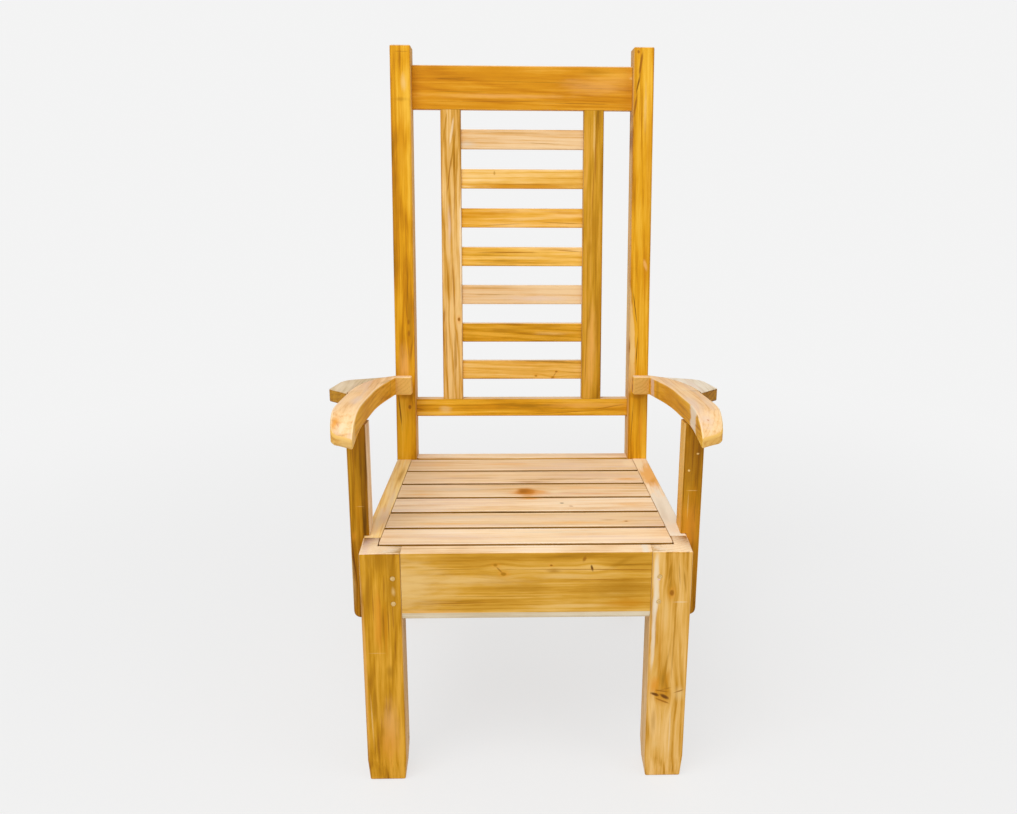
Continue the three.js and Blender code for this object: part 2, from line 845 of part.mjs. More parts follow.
// Arms, wings and arm posts
function arm(hand) {
  const tools = [wingTongue(fit), postTenon(fit), armPeg(fit)];
  const band = cut(armBand.add(heelTenon(0)), tools);
  add(frame, `arm_${sideName(hand)}`, handed(band, hand), cream());
  add(frame, `arm_wing_${sideName(hand)}`, handed(cut(wingBody, [wingTongue(fit)]), hand), pale());
}

function armPost(hand) {
  const tools = [...armPostScrews(fit), ...armPostMouths, armPeg(fit)];
  const post = cut(armPostBody().add(postTenon(0)), tools);
  add(frame, `arm_post_${sideName(hand)}`, handed(post, hand), amber());
}

function fasteners(hand) {
  const label = sideName(hand);
  const pair = (name, places, solids, material) => solids.forEach((solid, index) => {
    add(frame, `${name}_${places[index]}_${label}`, handed(solid, hand), material);
  });
  const heights = ['upper', 'lower'];
  const ends = ['front', 'rear'];
  pair('apron_peg', heights, frontPegs(0), pale());
  pair('rail_peg', ends, railPegs(0), pale());
  pair('arm_post_screw', heights, armPostScrews(0), brass());
  pair('arm_post_plug', heights, armPostPlugs(), pale());
  pair('bearer_screw', ends, bearerScrews(0), brass());
  add(frame, `arm_peg_${label}`, handed(armPeg(0).intersect(armBand), hand), pale());
  add(frame, `arm_wing_tongue_${label}`, handed(wingTongue(0), hand), pale());
}

[-1, 1].forEach((hand) => {
  frontLeg(hand);
  backPost(hand);
  sideRail(hand);
  bearers(hand);
  stile(hand);
  arm(hand);
  armPost(hand);
  fasteners(hand);
});
frontApron();
rearApron();
add(frame, 'seat_bearer_middle', middleBearer(0), cream());
seatSlats();
panelRail('crest_rail', crestZ, amber());
panelRail('lower_back_rail', lowRailZ, amber());
for (let index = 0; index < backSlatCount; index += 1) {
  backSlat(index);
}

// Centre the footprint box on the origin, with the floor at z = 0
const bounds = new THREE.Box3().setFromObject(chair);
frame.position.y = -(bounds.min.y + bounds.max.y) / 2;

export default chair;
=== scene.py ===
import math
import random
from collections import namedtuple

import bmesh
import bpy
from mathutils import Matrix, Vector
from mathutils.bvhtree import BVHTree


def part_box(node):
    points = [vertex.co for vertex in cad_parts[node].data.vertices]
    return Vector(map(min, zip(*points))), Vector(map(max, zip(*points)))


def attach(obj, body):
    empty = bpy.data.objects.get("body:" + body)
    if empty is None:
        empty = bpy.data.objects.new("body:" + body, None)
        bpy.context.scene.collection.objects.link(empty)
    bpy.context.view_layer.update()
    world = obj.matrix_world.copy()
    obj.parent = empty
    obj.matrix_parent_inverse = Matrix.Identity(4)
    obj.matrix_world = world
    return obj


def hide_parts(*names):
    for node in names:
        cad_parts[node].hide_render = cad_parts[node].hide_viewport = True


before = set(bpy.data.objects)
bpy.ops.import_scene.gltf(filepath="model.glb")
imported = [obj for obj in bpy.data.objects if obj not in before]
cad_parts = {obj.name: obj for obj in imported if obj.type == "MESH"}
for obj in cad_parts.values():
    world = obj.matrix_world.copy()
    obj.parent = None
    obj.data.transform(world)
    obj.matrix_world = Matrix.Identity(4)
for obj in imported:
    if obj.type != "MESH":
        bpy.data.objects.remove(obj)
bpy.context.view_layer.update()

X = Vector((1, 0, 0))
Y = Vector((0, 1, 0))
Z = Vector((0, 0, 1))

# Places and angles of the chair
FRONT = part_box("front_leg_left")[0].y
RECLINE = math.radians(8)
ARM_SLOPE = math.radians(10)
FOOT_RAKE = math.radians(22)
KNEE_HEIGHT = 0.295
KNEE_BEND = 0.09
BEVEL_RISE = 0.012
BEVEL_FADE = 0.001

# The photograph's camera
IMAGE_WIDTH = 1017
FOCAL_PIXELS = 1150
CENTRE_OFFSET_PIXELS = 39.16
SENSOR_WIDTH = 36
CAMERA_X = -0.0347
CAMERA_AHEAD = 1.6561
CAMERA_HEIGHT = 1.2060
CAMERA_PITCH = math.radians(18.15)
CAMERA_YAW = math.radians(2.26)
CAMERA_ROLL = math.radians(0.57)

# Studio
WHITE = (1, 1, 1, 1)
BACKDROP = (0.9, 0.9, 0.9, 1)
ROOM_LIGHT = 0.5
KEY_LIGHT = dict(place=(-1.0, -1.7, 3.4), target=(0, 0, 0.5), size=2.4, power=78)
FILL_LIGHT = dict(place=(2.2, -1.6, 1.8), target=(0, 0, 0.6), size=2.0, power=16)
FLOOR_COLOR = (0.8, 0.8, 0.8, 1)
FLOOR_SIZE = 40
FLOOR_DROP = 0.0005
FLOOR_CLEAR = 0.5
FLOOR_FADED = 2.2
FLOOR_GLOW = 0.75

# Rounded arrises: which edges are sharp, and how another piece is found beside them
MERGE = 1e-5
FLAT = math.radians(0.4)
SHARP = math.radians(25)
SMOOTH = math.radians(32)
ARRIS_STEPS = 3
COVER_STEP = 0.0015
COVER_GAP = 0.0013
COVER_SAMPLES = (0.15, 0.5, 0.85)
COVER_NEEDED = 2

# Growth rings, with the ranges that each board draws its own from
RING_SPACING = (0.0060, 0.0095)
PITH_LEAN = (-0.05, 0.05)
PITH_ASIDE = (0.02, 0.09)
PITH_DEPTH = (0.05, 0.12)
RING_WAVER = 2.4
RING_SHARPNESS = 3.5

# Noise along the grain: run along the fibres, width across them, shift, and the noise's settings
NOISE_REACH = 3
LAYERS = {
    "bands": (0.6, 0.034, 11, dict(distortion=0.3)),
    "streaks": (0.34, 0.011, 5, dict(detail=4, roughness=0.62, distortion=0.15)),
    "lines": (0.16, 0.0036, 29, dict(detail=3, roughness=0.6)),
    "clouds": (0.12, 0.05, 41, dict(detail=3)),
    "fibres": (0.03, 0.0011, 17, dict(roughness=0.6)),
    "rosy": (0.28, 0.016, 53, dict(detail=3)),
    "wobble": (0.03, 0.006, 67, dict(detail=3)),
}

# What the layers do to the tone of the wood, and where on it each grain colour lies
BAND_TONE = 0.9
STREAK_TONE = 1.1
LINE_TONE = 0.7
FIBRE_TONE = 0.4
RING_TONE = -0.2
TONE_LIFT = 0.05
TONE_STOPS = (0.02, 0.22, 0.5, 0.8)
DEEPEST = 0.62
ROSY_TONE = (0.45, 0.75)
ROSY_SHARE = 0.55
MARK_WOBBLE = 0.9

# How squarely a face looks along an axis where its own colour begins, and where it is whole; the
# paler colour of tops, sides and fronts is painted light from above
PAINTED_TOP_LIGHT = (0.35, 0.85)
PAINTED_SIDE_LIGHT = (0.4, 0.95)
PAINTED_FRONT_LIGHT = (0.3, 0.7)
END_FACE = (0.75, 0.95)
MARK_FACES = {"top": (Z, 0.5, 0.8), "side": (X, 0.4, 0.7), "front": (Y, 0.5, 0.8)}

# End grain
END_SHARE = 0.9
PORE_SCALE = 420
PORE_TONE = 1.4
END_RING_TONE = -0.25

# The oiled surface
OIL_ROUGHNESS = 0.46
FIBRE_ROUGHNESS = 0.2
OIL_SPECULAR = 0.14
STREAK_HEIGHT = 0.5
RING_HEIGHT = -0.25
GRAIN_BUMP = (0.22, 0.0005)

# Pegs and screws
SPECKLE_STOPS = (0.3, 0.7)
PEG_SCALE = 900
PEG_COLORS = ((196, 150, 72), (240, 206, 140))
PEG_ROUGHNESS = 0.55
PEG_BUMP = (0.2, 0.0004)
BRASS_SCALE = 320
BRASS_COLORS = ((126, 98, 48), (196, 160, 92))
BRASS_ROUGHNESS = (0.5, 0.32)


# Camera, floor and light
def make_camera():
    data = bpy.data.cameras.new("camera")
    data.sensor_width = SENSOR_WIDTH
    data.lens = SENSOR_WIDTH * FOCAL_PIXELS / IMAGE_WIDTH
    data.shift_x = -CENTRE_OFFSET_PIXELS / IMAGE_WIDTH
    camera = bpy.data.objects.new("camera", data)
    forward = Vector((
        math.sin(CAMERA_YAW) * math.cos(CAMERA_PITCH),
        math.cos(CAMERA_YAW) * math.cos(CAMERA_PITCH),
        -math.sin(CAMERA_PITCH),
    ))
    level = Vector((math.cos(CAMERA_YAW), -math.sin(CAMERA_YAW), 0))
    upright = level.cross(forward)
    right = level * math.cos(CAMERA_ROLL) + upright * math.sin(CAMERA_ROLL)
    up = upright * math.cos(CAMERA_ROLL) - level * math.sin(CAMERA_ROLL)
    turn = Matrix((right, up, -forward)).transposed()
    place = Matrix.Translation((CAMERA_X, FRONT - CAMERA_AHEAD, CAMERA_HEIGHT))
    camera.matrix_world = place @ turn.to_4x4()
    bpy.context.collection.objects.link(camera)
    bpy.context.scene.camera = camera


def make_light(name, place, target, size, power):
    data = bpy.data.lights.new(name, "AREA")
    data.shape = "SQUARE"
    data.size = size
    data.energy = power
    light = bpy.data.objects.new(name, data)
    light.location = place
    light.rotation_euler = (Vector(target) - Vector(place)).to_track_quat("-Z", "Y").to_euler()
    bpy.context.collection.objects.link(light)


def linear(color):
    """An sRGB colour of three 0 to 255 numbers as linear light, with alpha."""
    shares = [channel / 255 for channel in color]
    return tuple(s / 12.92 if s < 0.04045 else ((s + 0.055) / 1.055) ** 2.4 for s in shares) + (1,)


class Graph:
    """Writes the nodes of one material or world."""

    def __init__(self, owner):
        self.owner = owner
        owner.use_nodes = True
        self.tree = owner.node_tree
        self.tree.nodes.clear()

    def add(self, kind, values=(), **settings):
        made = self.tree.nodes.new(kind)
        for key, value in settings.items():
            setattr(made, key, value)
        for key, value in dict(values).items():
            if isinstance(value, bpy.types.NodeSocket):
                self.tree.links.new(value, made.inputs[key])
            else:
                made.inputs[key].default_value = value
        return made

    def math(self, operation, *values):
        return self.add("ShaderNodeMath", enumerate(values), operation=operation).outputs[0]

    def dot(self, vector, axis):
        made = self.add("ShaderNodeVectorMath", {0: vector, 1: axis}, operation="DOT_PRODUCT")
        return made.outputs["Value"]

    def length(self, vector):
        return self.add("ShaderNodeVectorMath", {0: vector}, operation="LENGTH").outputs["Value"]

    def scaled(self, vector, scale):
        made = self.add("ShaderNodeVectorMath", {0: vector, 1: (scale,) * 3}, operation="MULTIPLY")
        return made.outputs[0]

    def combine(self, x, y, z=0):
        return self.add("ShaderNodeCombineXYZ", {0: x, 1: y, 2: z}).outputs[0]

    def noise(self, vector, detail=2, roughness=0.5, distortion=0):
        return self.add("ShaderNodeTexNoise", {
            "Vector": vector, "Scale": 1, "Detail": detail, "Roughness": roughness,
            "Distortion": distortion,
        }).outputs["Fac"]

    def blend(self, value, low, high, start=0, end=1):
        values = {"Value": value, "From Min": low, "From Max": high, "To Min": start, "To Max": end}
        return self.add("ShaderNodeMapRange", values, interpolation_type="SMOOTHSTEP").outputs[0]

    def mix(self, share, a, b):
        """Colour a where the share is 0, and colour b where it is 1."""
        return self.add("ShaderNodeMix", {0: share, 6: a, 7: b}, data_type="RGBA").outputs[2]

    def ramp(self, value, stops):
        """The colour that the stops give, each a place from 0 to 1 and its colour."""
        made = self.add("ShaderNodeValToRGB", {"Fac": value})
        elements = made.color_ramp.elements
        while len(elements) < len(stops):
            elements.new(0.5)
        for element, (place, color) in zip(elements, stops):
            element.position = place
            element.color = color
        return made.outputs["Color"]

    def bump(self, height, strength, distance):
        values = {"Strength": strength, "Distance": distance, "Height": height}
        return self.add("ShaderNodeBump", values).outputs[0]

    def principled(self, values):
        return self.finish(self.add("ShaderNodeBsdfPrincipled", values).outputs[0])

    def finish(self, shader, output="ShaderNodeOutputMaterial"):
        self.add(output, {"Surface": shader})
        return self.owner


def material_graph(name):
    return Graph(bpy.data.materials.new(name))


# Wood colours as sRGB, each as dark, middle and light grain
PALETTES = {
    "amber": ((192, 121, 4), (212, 143, 18), (230, 168, 56)),
    "rail_gold": ((210, 146, 18), (233, 174, 44), (246, 196, 90)),
    "honey": ((214, 148, 22), (234, 175, 66), (247, 200, 124)),
    "soft_honey": ((216, 156, 48), (234, 182, 86), (247, 206, 136)),
    "bright_honey": ((222, 162, 44), (241, 189, 88), (248, 206, 134)),
    "pale_honey": ((220, 168, 98), (230, 190, 138), (238, 204, 156)),
    "brown_gold": ((164, 105, 2), (204, 144, 18), (232, 172, 56)),
    "ochre": ((194, 136, 26), (218, 162, 54), (236, 188, 98)),
    "tan": ((176, 118, 18), (213, 158, 66), (238, 196, 126)),
    "olive_gold": ((170, 116, 8), (199, 144, 28), (221, 163, 60)),
    "gold": ((190, 124, 2), (223, 159, 20), (239, 184, 58)),
    "umber": ((130, 82, 0), (176, 118, 0), (204, 146, 28)),
    "olive_brown": ((112, 78, 18), (152, 108, 36), (182, 136, 62)),
    "peach_honey": ((204, 144, 38), (231, 178, 88), (246, 200, 126)),
    "cream": ((220, 176, 116), (238, 206, 160), (248, 222, 188)),
    "milk": ((232, 192, 142), (250, 222, 182), (255, 236, 212)),
    "rail_peach": ((234, 180, 92), (252, 212, 132), (255, 228, 168)),
    "peach": ((226, 172, 108), (245, 202, 146), (253, 218, 170)),
    "ash_tan": ((190, 164, 118), (216, 191, 150), (234, 214, 182)),
    "planed_ash": ((198, 178, 140), (221, 201, 166), (236, 222, 194)),
    "ash_cream": ((216, 198, 166), (240, 226, 202), (248, 240, 224)),
    "raw": ((160, 112, 54), (192, 146, 86), (214, 174, 120)),
    "ear_brown": ((146, 88, 6), (180, 124, 30), (206, 150, 58)),
    # heel_tan is end grain, darkened partly as painted shade on the heel's front face.
    "heel_tan": ((200, 150, 64), (226, 180, 96), (240, 202, 132)),
}

# Colours of knots, streaks and patches
BARK = (112, 64, 8)
UMBER = (136, 82, 4)
BROWN = (160, 98, 12)
# Painted light for a shaded lower post
PAINTED_LIGHT_GOLD = (246, 180, 22)
OLIVE = (176, 120, 10)
DEEP_GOLD = (206, 136, 8)
ORANGE = (230, 152, 40)
APRICOT = (238, 178, 98)
STRAW = (238, 198, 126)
TAN = (226, 184, 126)
PALE = (246, 222, 182)
CHALK = (240, 226, 204)
ASH = (222, 204, 178)
ROSE = (230, 202, 182)
BLUSH = (234, 200, 190)
RUST = (214, 150, 112)
RUSSET = (196, 122, 30)
FLINT = (120, 100, 62)

# A mark lies in the plane of the board's face. Its place is counted from the middle of the board,
# along the grain and across it, and its reach is half its size each way. It goes right through the
# board unless it is kept to one face. It is whole within the share of its reach called soft.
Mark = namedtuple("Mark", "color along across length width turn strength soft face")


def mark(color, along, across, length, width, turn=0, strength=0.8, soft=0.35, face=None):
    return Mark(color, along, across, length, width, math.radians(turn), strength, soft, face)


def patch(*place, **look):
    """A mark that fades all the way from its middle."""
    return mark(*place, soft=0, **look)


def knot(along, across, size, color=BROWN, halo=ORANGE):
    """A small knot: a soft halo, and a dark core that is longer along the grain."""
    return [
        patch(halo, along, across, size * 3, size * 1.7, strength=0.5),
        mark(color, along, across, size * 1.2, size * 0.85, strength=0.9, soft=0.4),
    ]


def line(color, along, across, length, turn=0, width=0.0012, strength=0.75):
    """A thin mark with a clear edge."""
    return mark(color, along, across, length, width, turn, strength, soft=0.2)


MARKS = {
    "front_leg_left": [
        patch(OLIVE, 0.200, 0.000, 0.040, 0.040, strength=0.75, face="front"),
        patch(OLIVE, 0.150, 0.019, 0.080, 0.016, strength=0.75, face="front"),
        patch(OLIVE, 0.150, -0.021, 0.060, 0.009, strength=0.55, face="front"),
        patch(ORANGE, 0.090, -0.006, 0.095, 0.009, strength=0.75),
        # A painted highlight between the pegs.
        patch(STRAW, 0.143, 0.020, 0.011, 0.005, strength=0.65),
        mark(DEEP_GOLD, 0.070, 0.006, 0.062, 0.0035, strength=0.8),
        line(BROWN, 0.085, 0.0105, 0.040),
        line(BROWN, 0.120, -0.013, 0.045),
        line(BROWN, 0.150, 0.0050, 0.035, turn=2, strength=0.6),
        line(BROWN, 0.110, 0.0180, 0.050, turn=-1, strength=0.6),
        line(STRAW, 0.033, -0.010, 0.0012, width=0.018, strength=0.45),
        patch(OLIVE, -0.002, 0.011, 0.017, 0.010, strength=0.7),
        patch(APRICOT, -0.105, 0.008, 0.075, 0.020, strength=0.7),
        patch(ORANGE, -0.140, 0.004, 0.060, 0.022, strength=0.5),
        mark(OLIVE, -0.060, -0.017, 0.046, 0.005, strength=0.75),
        line(STRAW, -0.095, -0.022, 0.060, turn=-1.5, width=0.0018, strength=0.6),
        mark(APRICOT, 0.0, -0.030, 0.215, 0.0035, strength=0.6),
        patch(BLUSH, 0.209, -0.024, 0.030, 0.010, strength=0.4, face="top"),
    ],
    "front_leg_right": [
        mark(PALE, 0.150, -0.0245, 0.075, 0.0062, turn=-1, strength=0.85),
        mark(PALE, 0.050, -0.0260, 0.070, 0.0045, turn=1.5, strength=0.7),
        patch(STRAW, 0.100, -0.008, 0.045, 0.008, strength=0.45),
        mark(OLIVE, 0.176, -0.003, 0.022, 0.0028, turn=6, strength=0.75),
        mark(OLIVE, 0.160, 0.021, 0.026, 0.0022, turn=-7, strength=0.7),
        mark(OLIVE, 0.172, 0.012, 0.030, 0.0016, turn=-5, strength=0.6),
        mark(BLUSH, 0.162, -0.021, 0.003, 0.0035, strength=0.9),
        mark(CHALK, 0.100, -0.0255, 0.100, 0.0055, turn=0.5, strength=0.6, soft=0.1, face="front"),
        line(PALE, 0.121, 0.016, 0.0012, width=0.015, strength=0.7),
        *knot(0.138, 0.001, 0.0058),
        mark(OLIVE, 0.050, 0.008, 0.100, 0.0022, turn=1, strength=0.5),
        mark(OLIVE, 0.000, -0.003, 0.050, 0.0030, turn=7, strength=0.55),
        patch(DEEP_GOLD, 0.030, -0.014, 0.110, 0.0040, turn=1, strength=0.45),
        patch(ORANGE, -0.034, -0.021, 0.024, 0.013, strength=0.85),
        patch(STRAW, -0.048, 0.020, 0.020, 0.014, strength=0.7),
        patch(DEEP_GOLD, -0.052, -0.008, 0.022, 0.024, strength=0.75),
        mark(BARK, -0.049, -0.0195, 0.0036, 0.0100, turn=22, strength=0.95),
        mark(BARK, -0.0535, -0.0035, 0.0044, 0.0115, turn=30, strength=0.95),
        mark(BROWN, -0.043, -0.008, 0.0020, 0.014, turn=10, strength=0.85),
        mark(BROWN, -0.062, -0.006, 0.0020, 0.018, turn=24, strength=0.8),
        mark(BROWN, -0.039, -0.002, 0.0014, 0.014, turn=-14, strength=0.6),
        mark(BROWN, -0.044, 0.020, 0.0018, 0.012, turn=-20, strength=0.75),
        patch(DEEP_GOLD, -0.020, 0.000, 0.030, 0.006, turn=9, strength=0.6),
        patch(OLIVE, -0.100, -0.020, 0.045, 0.006, strength=0.45),
        patch(STRAW, -0.145, -0.016, 0.014, 0.010, strength=0.5),
        mark(PALE, -0.120, 0.008, 0.060, 0.0018, strength=0.4),
    ],
    "front_apron": [
        patch(STRAW, -0.210, 0.000, 0.120, 0.075, strength=0.85, face="front"),
        patch(STRAW, -0.090, 0.010, 0.130, 0.013, strength=0.6, face="front"),
        patch(APRICOT, -0.150, -0.046, 0.090, 0.007, strength=0.6, face="front"),
        patch(STRAW, 0.060, 0.016, 0.070, 0.005, strength=0.5),
        patch(STRAW, 0.080, -0.036, 0.090, 0.005, strength=0.45),
        patch(OLIVE, 0.150, -0.006, 0.080, 0.026, strength=0.6, face="front"),
        patch(DEEP_GOLD, 0.165, -0.032, 0.060, 0.014, strength=0.75, face="front"),
        patch(OLIVE, 0.000, -0.004, 0.070, 0.012, strength=0.5),
        patch(OLIVE, 0.150, 0.040, 0.034, 0.007, turn=28, strength=0.6),
        patch(OLIVE, -0.020, 0.050, 0.200, 0.005, strength=0.4, face="front"),
        mark(CHALK, 0.190, 0.050, 0.008, 0.020, strength=0.85, soft=0.3, face="top"),
        line(BROWN, 0.080, 0.0285, 0.165, turn=-0.6),
        line(OLIVE, -0.120, 0.0300, 0.080, turn=1),
        line(BROWN, -0.110, -0.0300, 0.085, turn=1),
        line(BROWN, 0.100, 0.0100, 0.060),
        line(OLIVE, -0.030, -0.0180, 0.110),
        *knot(-0.050, 0.037, 0.0046, OLIVE),
        *knot(-0.037, 0.021, 0.0048, OLIVE),
        line(BROWN, -0.044, 0.029, 0.010, turn=-48, width=0.0020),
        *knot(0.039, 0.036, 0.0026),
        patch(OLIVE, 0.044, 0.026, 0.018, 0.007, strength=0.7),
        mark(BROWN, 0.092, 0.047, 0.0042, 0.0070, turn=-25, strength=0.8),
        mark(BARK, 0.104, 0.031, 0.0026, 0.0074, turn=14, strength=0.95),
    ],
    "crest_rail": [
        patch(DEEP_GOLD, -0.060, 0.026, 0.120, 0.016, strength=0.55),
        patch(DEEP_GOLD, -0.080, -0.033, 0.150, 0.010, strength=0.6),
        patch(APRICOT, -0.040, -0.0135, 0.190, 0.0060, strength=0.55),
        patch(APRICOT, 0.140, 0.006, 0.095, 0.024, strength=0.45),
        patch(OLIVE, 0.140, 0.030, 0.040, 0.008, strength=0.5),
        line(BROWN, -0.020, -0.0225, 0.190, turn=0.4),
        line(BROWN, 0.110, -0.0260, 0.100, turn=-0.8),
        line(OLIVE, -0.110, -0.0060, 0.080),
        line(OLIVE, 0.020, 0.0120, 0.130, turn=-1),
        mark(STRAW, 0.210, 0.020, 0.012, 0.004, strength=0.7),
    ],
    "back_post_left": [
        patch(DEEP_GOLD, 0.240, -0.012, 0.120, 0.007, turn=1.5, strength=0.55),
        patch(DEEP_GOLD, 0.420, 0.000, 0.110, 0.012, strength=0.5),
        patch(STRAW, 0.520, 0.006, 0.022, 0.008, strength=0.6),
        mark(BROWN, 0.575, 0.001, 0.0014, 0.016, strength=0.45),
        patch(OLIVE, 0.490, 0.000, 0.006, 0.018, strength=0.6),
        patch(OLIVE, 0.080, 0.0105, 0.066, 0.0070, turn=-3, strength=0.9),
        mark(BROWN, 0.055, 0.0080, 0.009, 0.0036, strength=0.85),
        mark(BROWN, 0.076, 0.0075, 0.007, 0.0030, strength=0.85),
        line(BROWN, 0.100, 0.0040, 0.030, turn=-5),
        line(BROWN, 0.020, 0.0120, 0.030, turn=6, width=0.0018),
        patch(APRICOT, -0.005, -0.002, 0.050, 0.016, strength=0.65),
        mark(OLIVE, 0.200, -0.0150, 0.300, 0.0022, strength=0.5),
        mark(OLIVE, 0.300, 0.0165, 0.260, 0.0020, strength=0.5),
        # A painted shadow under the arm.
        patch(BROWN, -0.066, 0.000, 0.012, 0.030, strength=0.7),
        # Painted light that lifts the lower post where the arm and back shade it from the key
        # light.
        patch(PAINTED_LIGHT_GOLD, -0.150, 0.004, 0.070, 0.030, strength=0.6),
        line(BARK, -0.100, -0.0110, 0.046, turn=-5, width=0.0020, strength=0.9),
        *knot(-0.089, 0.0075, 0.0044),
    ],
    "back_post_right": [
        *knot(0.578, -0.0110, 0.0038),
        mark(BROWN, 0.556, -0.0060, 0.026, 0.0030, turn=7, strength=0.95),
        mark(UMBER, 0.520, -0.0105, 0.022, 0.0024, turn=11, strength=0.95),
        mark(BROWN, 0.480, -0.0150, 0.034, 0.0030, turn=8, strength=0.95),
        line(BROWN, 0.420, -0.0190, 0.044, turn=3, width=0.0024, strength=0.8),
        patch(STRAW, 0.480, 0.004, 0.070, 0.004, strength=0.55),
        patch(DEEP_GOLD, 0.380, 0.012, 0.160, 0.008, strength=0.6),
        patch(DEEP_GOLD, 0.180, 0.010, 0.090, 0.010, strength=0.6),
        mark(APRICOT, 0.186, 0.009, 0.014, 0.004, turn=-14, strength=0.75),
        mark(STRAW, 0.070, -0.0160, 0.110, 0.0065, turn=-4, strength=0.8, soft=0.6),
        line(BARK, 0.105, -0.0090, 0.050, turn=-8, width=0.0014, strength=0.85),
        line(BARK, 0.020, -0.0040, 0.045, turn=2, width=0.0014, strength=0.85),
        mark(STRAW, -0.010, -0.0140, 0.060, 0.0070, turn=2, strength=0.7, soft=0.6),
        # A painted shadow under the arm.
        patch(BROWN, -0.066, 0.000, 0.012, 0.030, strength=0.7),
        mark(OLIVE, 0.250, 0.0165, 0.260, 0.0020, strength=0.5),
        line(BROWN, -0.120, -0.0110, 0.060, turn=3, width=0.0016, strength=0.8),
        patch(ORANGE, -0.130, 0.006, 0.060, 0.006, strength=0.5),
        mark(BARK, -0.034, 0.006, 0.0016, 0.004, strength=0.8),
    ],
    "back_stile_left": [
        mark(PALE, 0.235, 0.002, 0.036, 0.0030, turn=9, strength=0.6),
        mark(OLIVE, 0.200, 0.004, 0.052, 0.0024, turn=9, strength=0.8),
        mark(OLIVE, 0.245, -0.010, 0.040, 0.0022, turn=8, strength=0.7),
        mark(BROWN, 0.150, -0.004, 0.044, 0.0018, turn=7, strength=0.7),
        mark(OLIVE, 0.170, 0.011, 0.060, 0.0018, turn=3, strength=0.6),
        mark(BROWN, 0.110, 0.006, 0.050, 0.0016, turn=2, strength=0.55),
        patch(ROSE, 0.060, -0.004, 0.060, 0.0050, strength=0.5),
        mark(PALE, 0.010, 0.0175, 0.140, 0.0036, strength=0.8),
        mark(BROWN, -0.060, 0.003, 0.070, 0.0020, turn=-2, strength=0.6),
        *knot(-0.119, 0.0125, 0.0036),
        mark(BROWN, -0.112, -0.0155, 0.020, 0.0030, turn=3, strength=0.6),
        mark(OLIVE, -0.190, 0.005, 0.065, 0.0040, turn=1, strength=0.7),
        mark(BROWN, -0.170, -0.0120, 0.060, 0.0014, turn=-1, strength=0.6),
    ],
    "back_stile_right": [
        mark(STRAW, 0.230, 0.001, 0.060, 0.0030, strength=0.5),
        mark(BROWN, 0.185, 0.004, 0.055, 0.0022, turn=-1, strength=0.7),
        mark(BROWN, 0.130, 0.000, 0.070, 0.0016, turn=2, strength=0.55),
        patch(OLIVE, 0.060, 0.003, 0.050, 0.0110, strength=0.6),
        patch(OLIVE, 0.020, -0.006, 0.020, 0.0080, strength=0.5),
        patch(APRICOT, -0.170, 0.000, 0.120, 0.0120, strength=0.5),
        patch(OLIVE, -0.090, 0.014, 0.060, 0.0060, strength=0.6),
        line(BROWN, -0.200, -0.0110, 0.080, turn=1.5, width=0.0014),
    ],
    "lower_back_rail": [
        mark(STRAW, -0.150, -0.002, 0.018, 0.0100, strength=0.6, soft=0.2),
        patch(DEEP_GOLD, -0.060, 0.004, 0.090, 0.0080, strength=0.5),
        patch(APRICOT, 0.120, 0.006, 0.110, 0.0080, strength=0.5),
        line(BROWN, 0.168, 0.0020, 0.040, turn=10),
        line(BROWN, 0.080, -0.0080, 0.090, turn=3),
        line(BROWN, -0.205, 0.0, 0.020, turn=-12),
    ],
    "back_slat_1": [
        patch(OLIVE, -0.020, 0.0130, 0.120, 0.0028, turn=-1.5, strength=0.4),
        patch(ASH, -0.105, -0.0080, 0.026, 0.0090, strength=0.75),
        line(OLIVE, 0.040, -0.0060, 0.060, turn=-2),
    ],
    "back_slat_2": [
        mark(DEEP_GOLD, 0.0, -0.0125, 0.150, 0.0062, strength=0.85, soft=0.2),
        line(BROWN, 0.0, -0.0090, 0.125, turn=-0.6),
        mark(OLIVE, -0.053, 0.0120, 0.0025, 0.0060, strength=0.6),
        patch(STRAW, -0.090, 0.004, 0.030, 0.0070, strength=0.4),
    ],
    "back_slat_3": [
        patch(DEEP_GOLD, -0.060, 0.0100, 0.090, 0.0070, turn=3, strength=0.75),
        patch(DEEP_GOLD, 0.080, 0.0110, 0.060, 0.0050, turn=-3, strength=0.6),
        patch(STRAW, 0.010, -0.0010, 0.070, 0.0045, turn=4, strength=0.5),
        line(BROWN, -0.050, -0.0120, 0.070, turn=3),
        line(BROWN, 0.075, -0.0080, 0.060, turn=-2),
    ],
    "back_slat_4": [
        line(BROWN, -0.030, 0.0090, 0.100, width=0.0020),
        line(BROWN, 0.090, 0.0120, 0.040, turn=-4),
        patch(STRAW, 0.0, -0.0010, 0.110, 0.0040, strength=0.5),
        patch(DEEP_GOLD, 0.060, 0.0150, 0.070, 0.0040, strength=0.6),
        line(OLIVE, 0.0, -0.0110, 0.110),
    ],
    "back_slat_5": [
        patch(ROSE, 0.030, -0.0060, 0.120, 0.0080, strength=0.6),
        patch(OLIVE, -0.060, 0.0140, 0.080, 0.0030, strength=0.35),
        line(OLIVE, -0.060, 0.0010, 0.060),
    ],
    "back_slat_6": [
        patch(OLIVE, -0.040, 0.0050, 0.050, 0.0080, strength=0.7),
        patch(DEEP_GOLD, -0.060, -0.0110, 0.060, 0.0050, strength=0.6),
        patch(OLIVE, 0.050, 0.0130, 0.050, 0.0040, strength=0.6),
        patch(STRAW, 0.060, -0.0010, 0.060, 0.0050, strength=0.45),
        patch(OLIVE, 0.070, -0.0140, 0.050, 0.0030, strength=0.6),
    ],
    "back_slat_7": [
        *knot(0.027, -0.0110, 0.0036, OLIVE),
        *knot(0.067, -0.0025, 0.0028),
        *knot(0.060, -0.0140, 0.0032, OLIVE),
        line(BROWN, 0.064, -0.0080, 0.008, turn=60, width=0.0014),
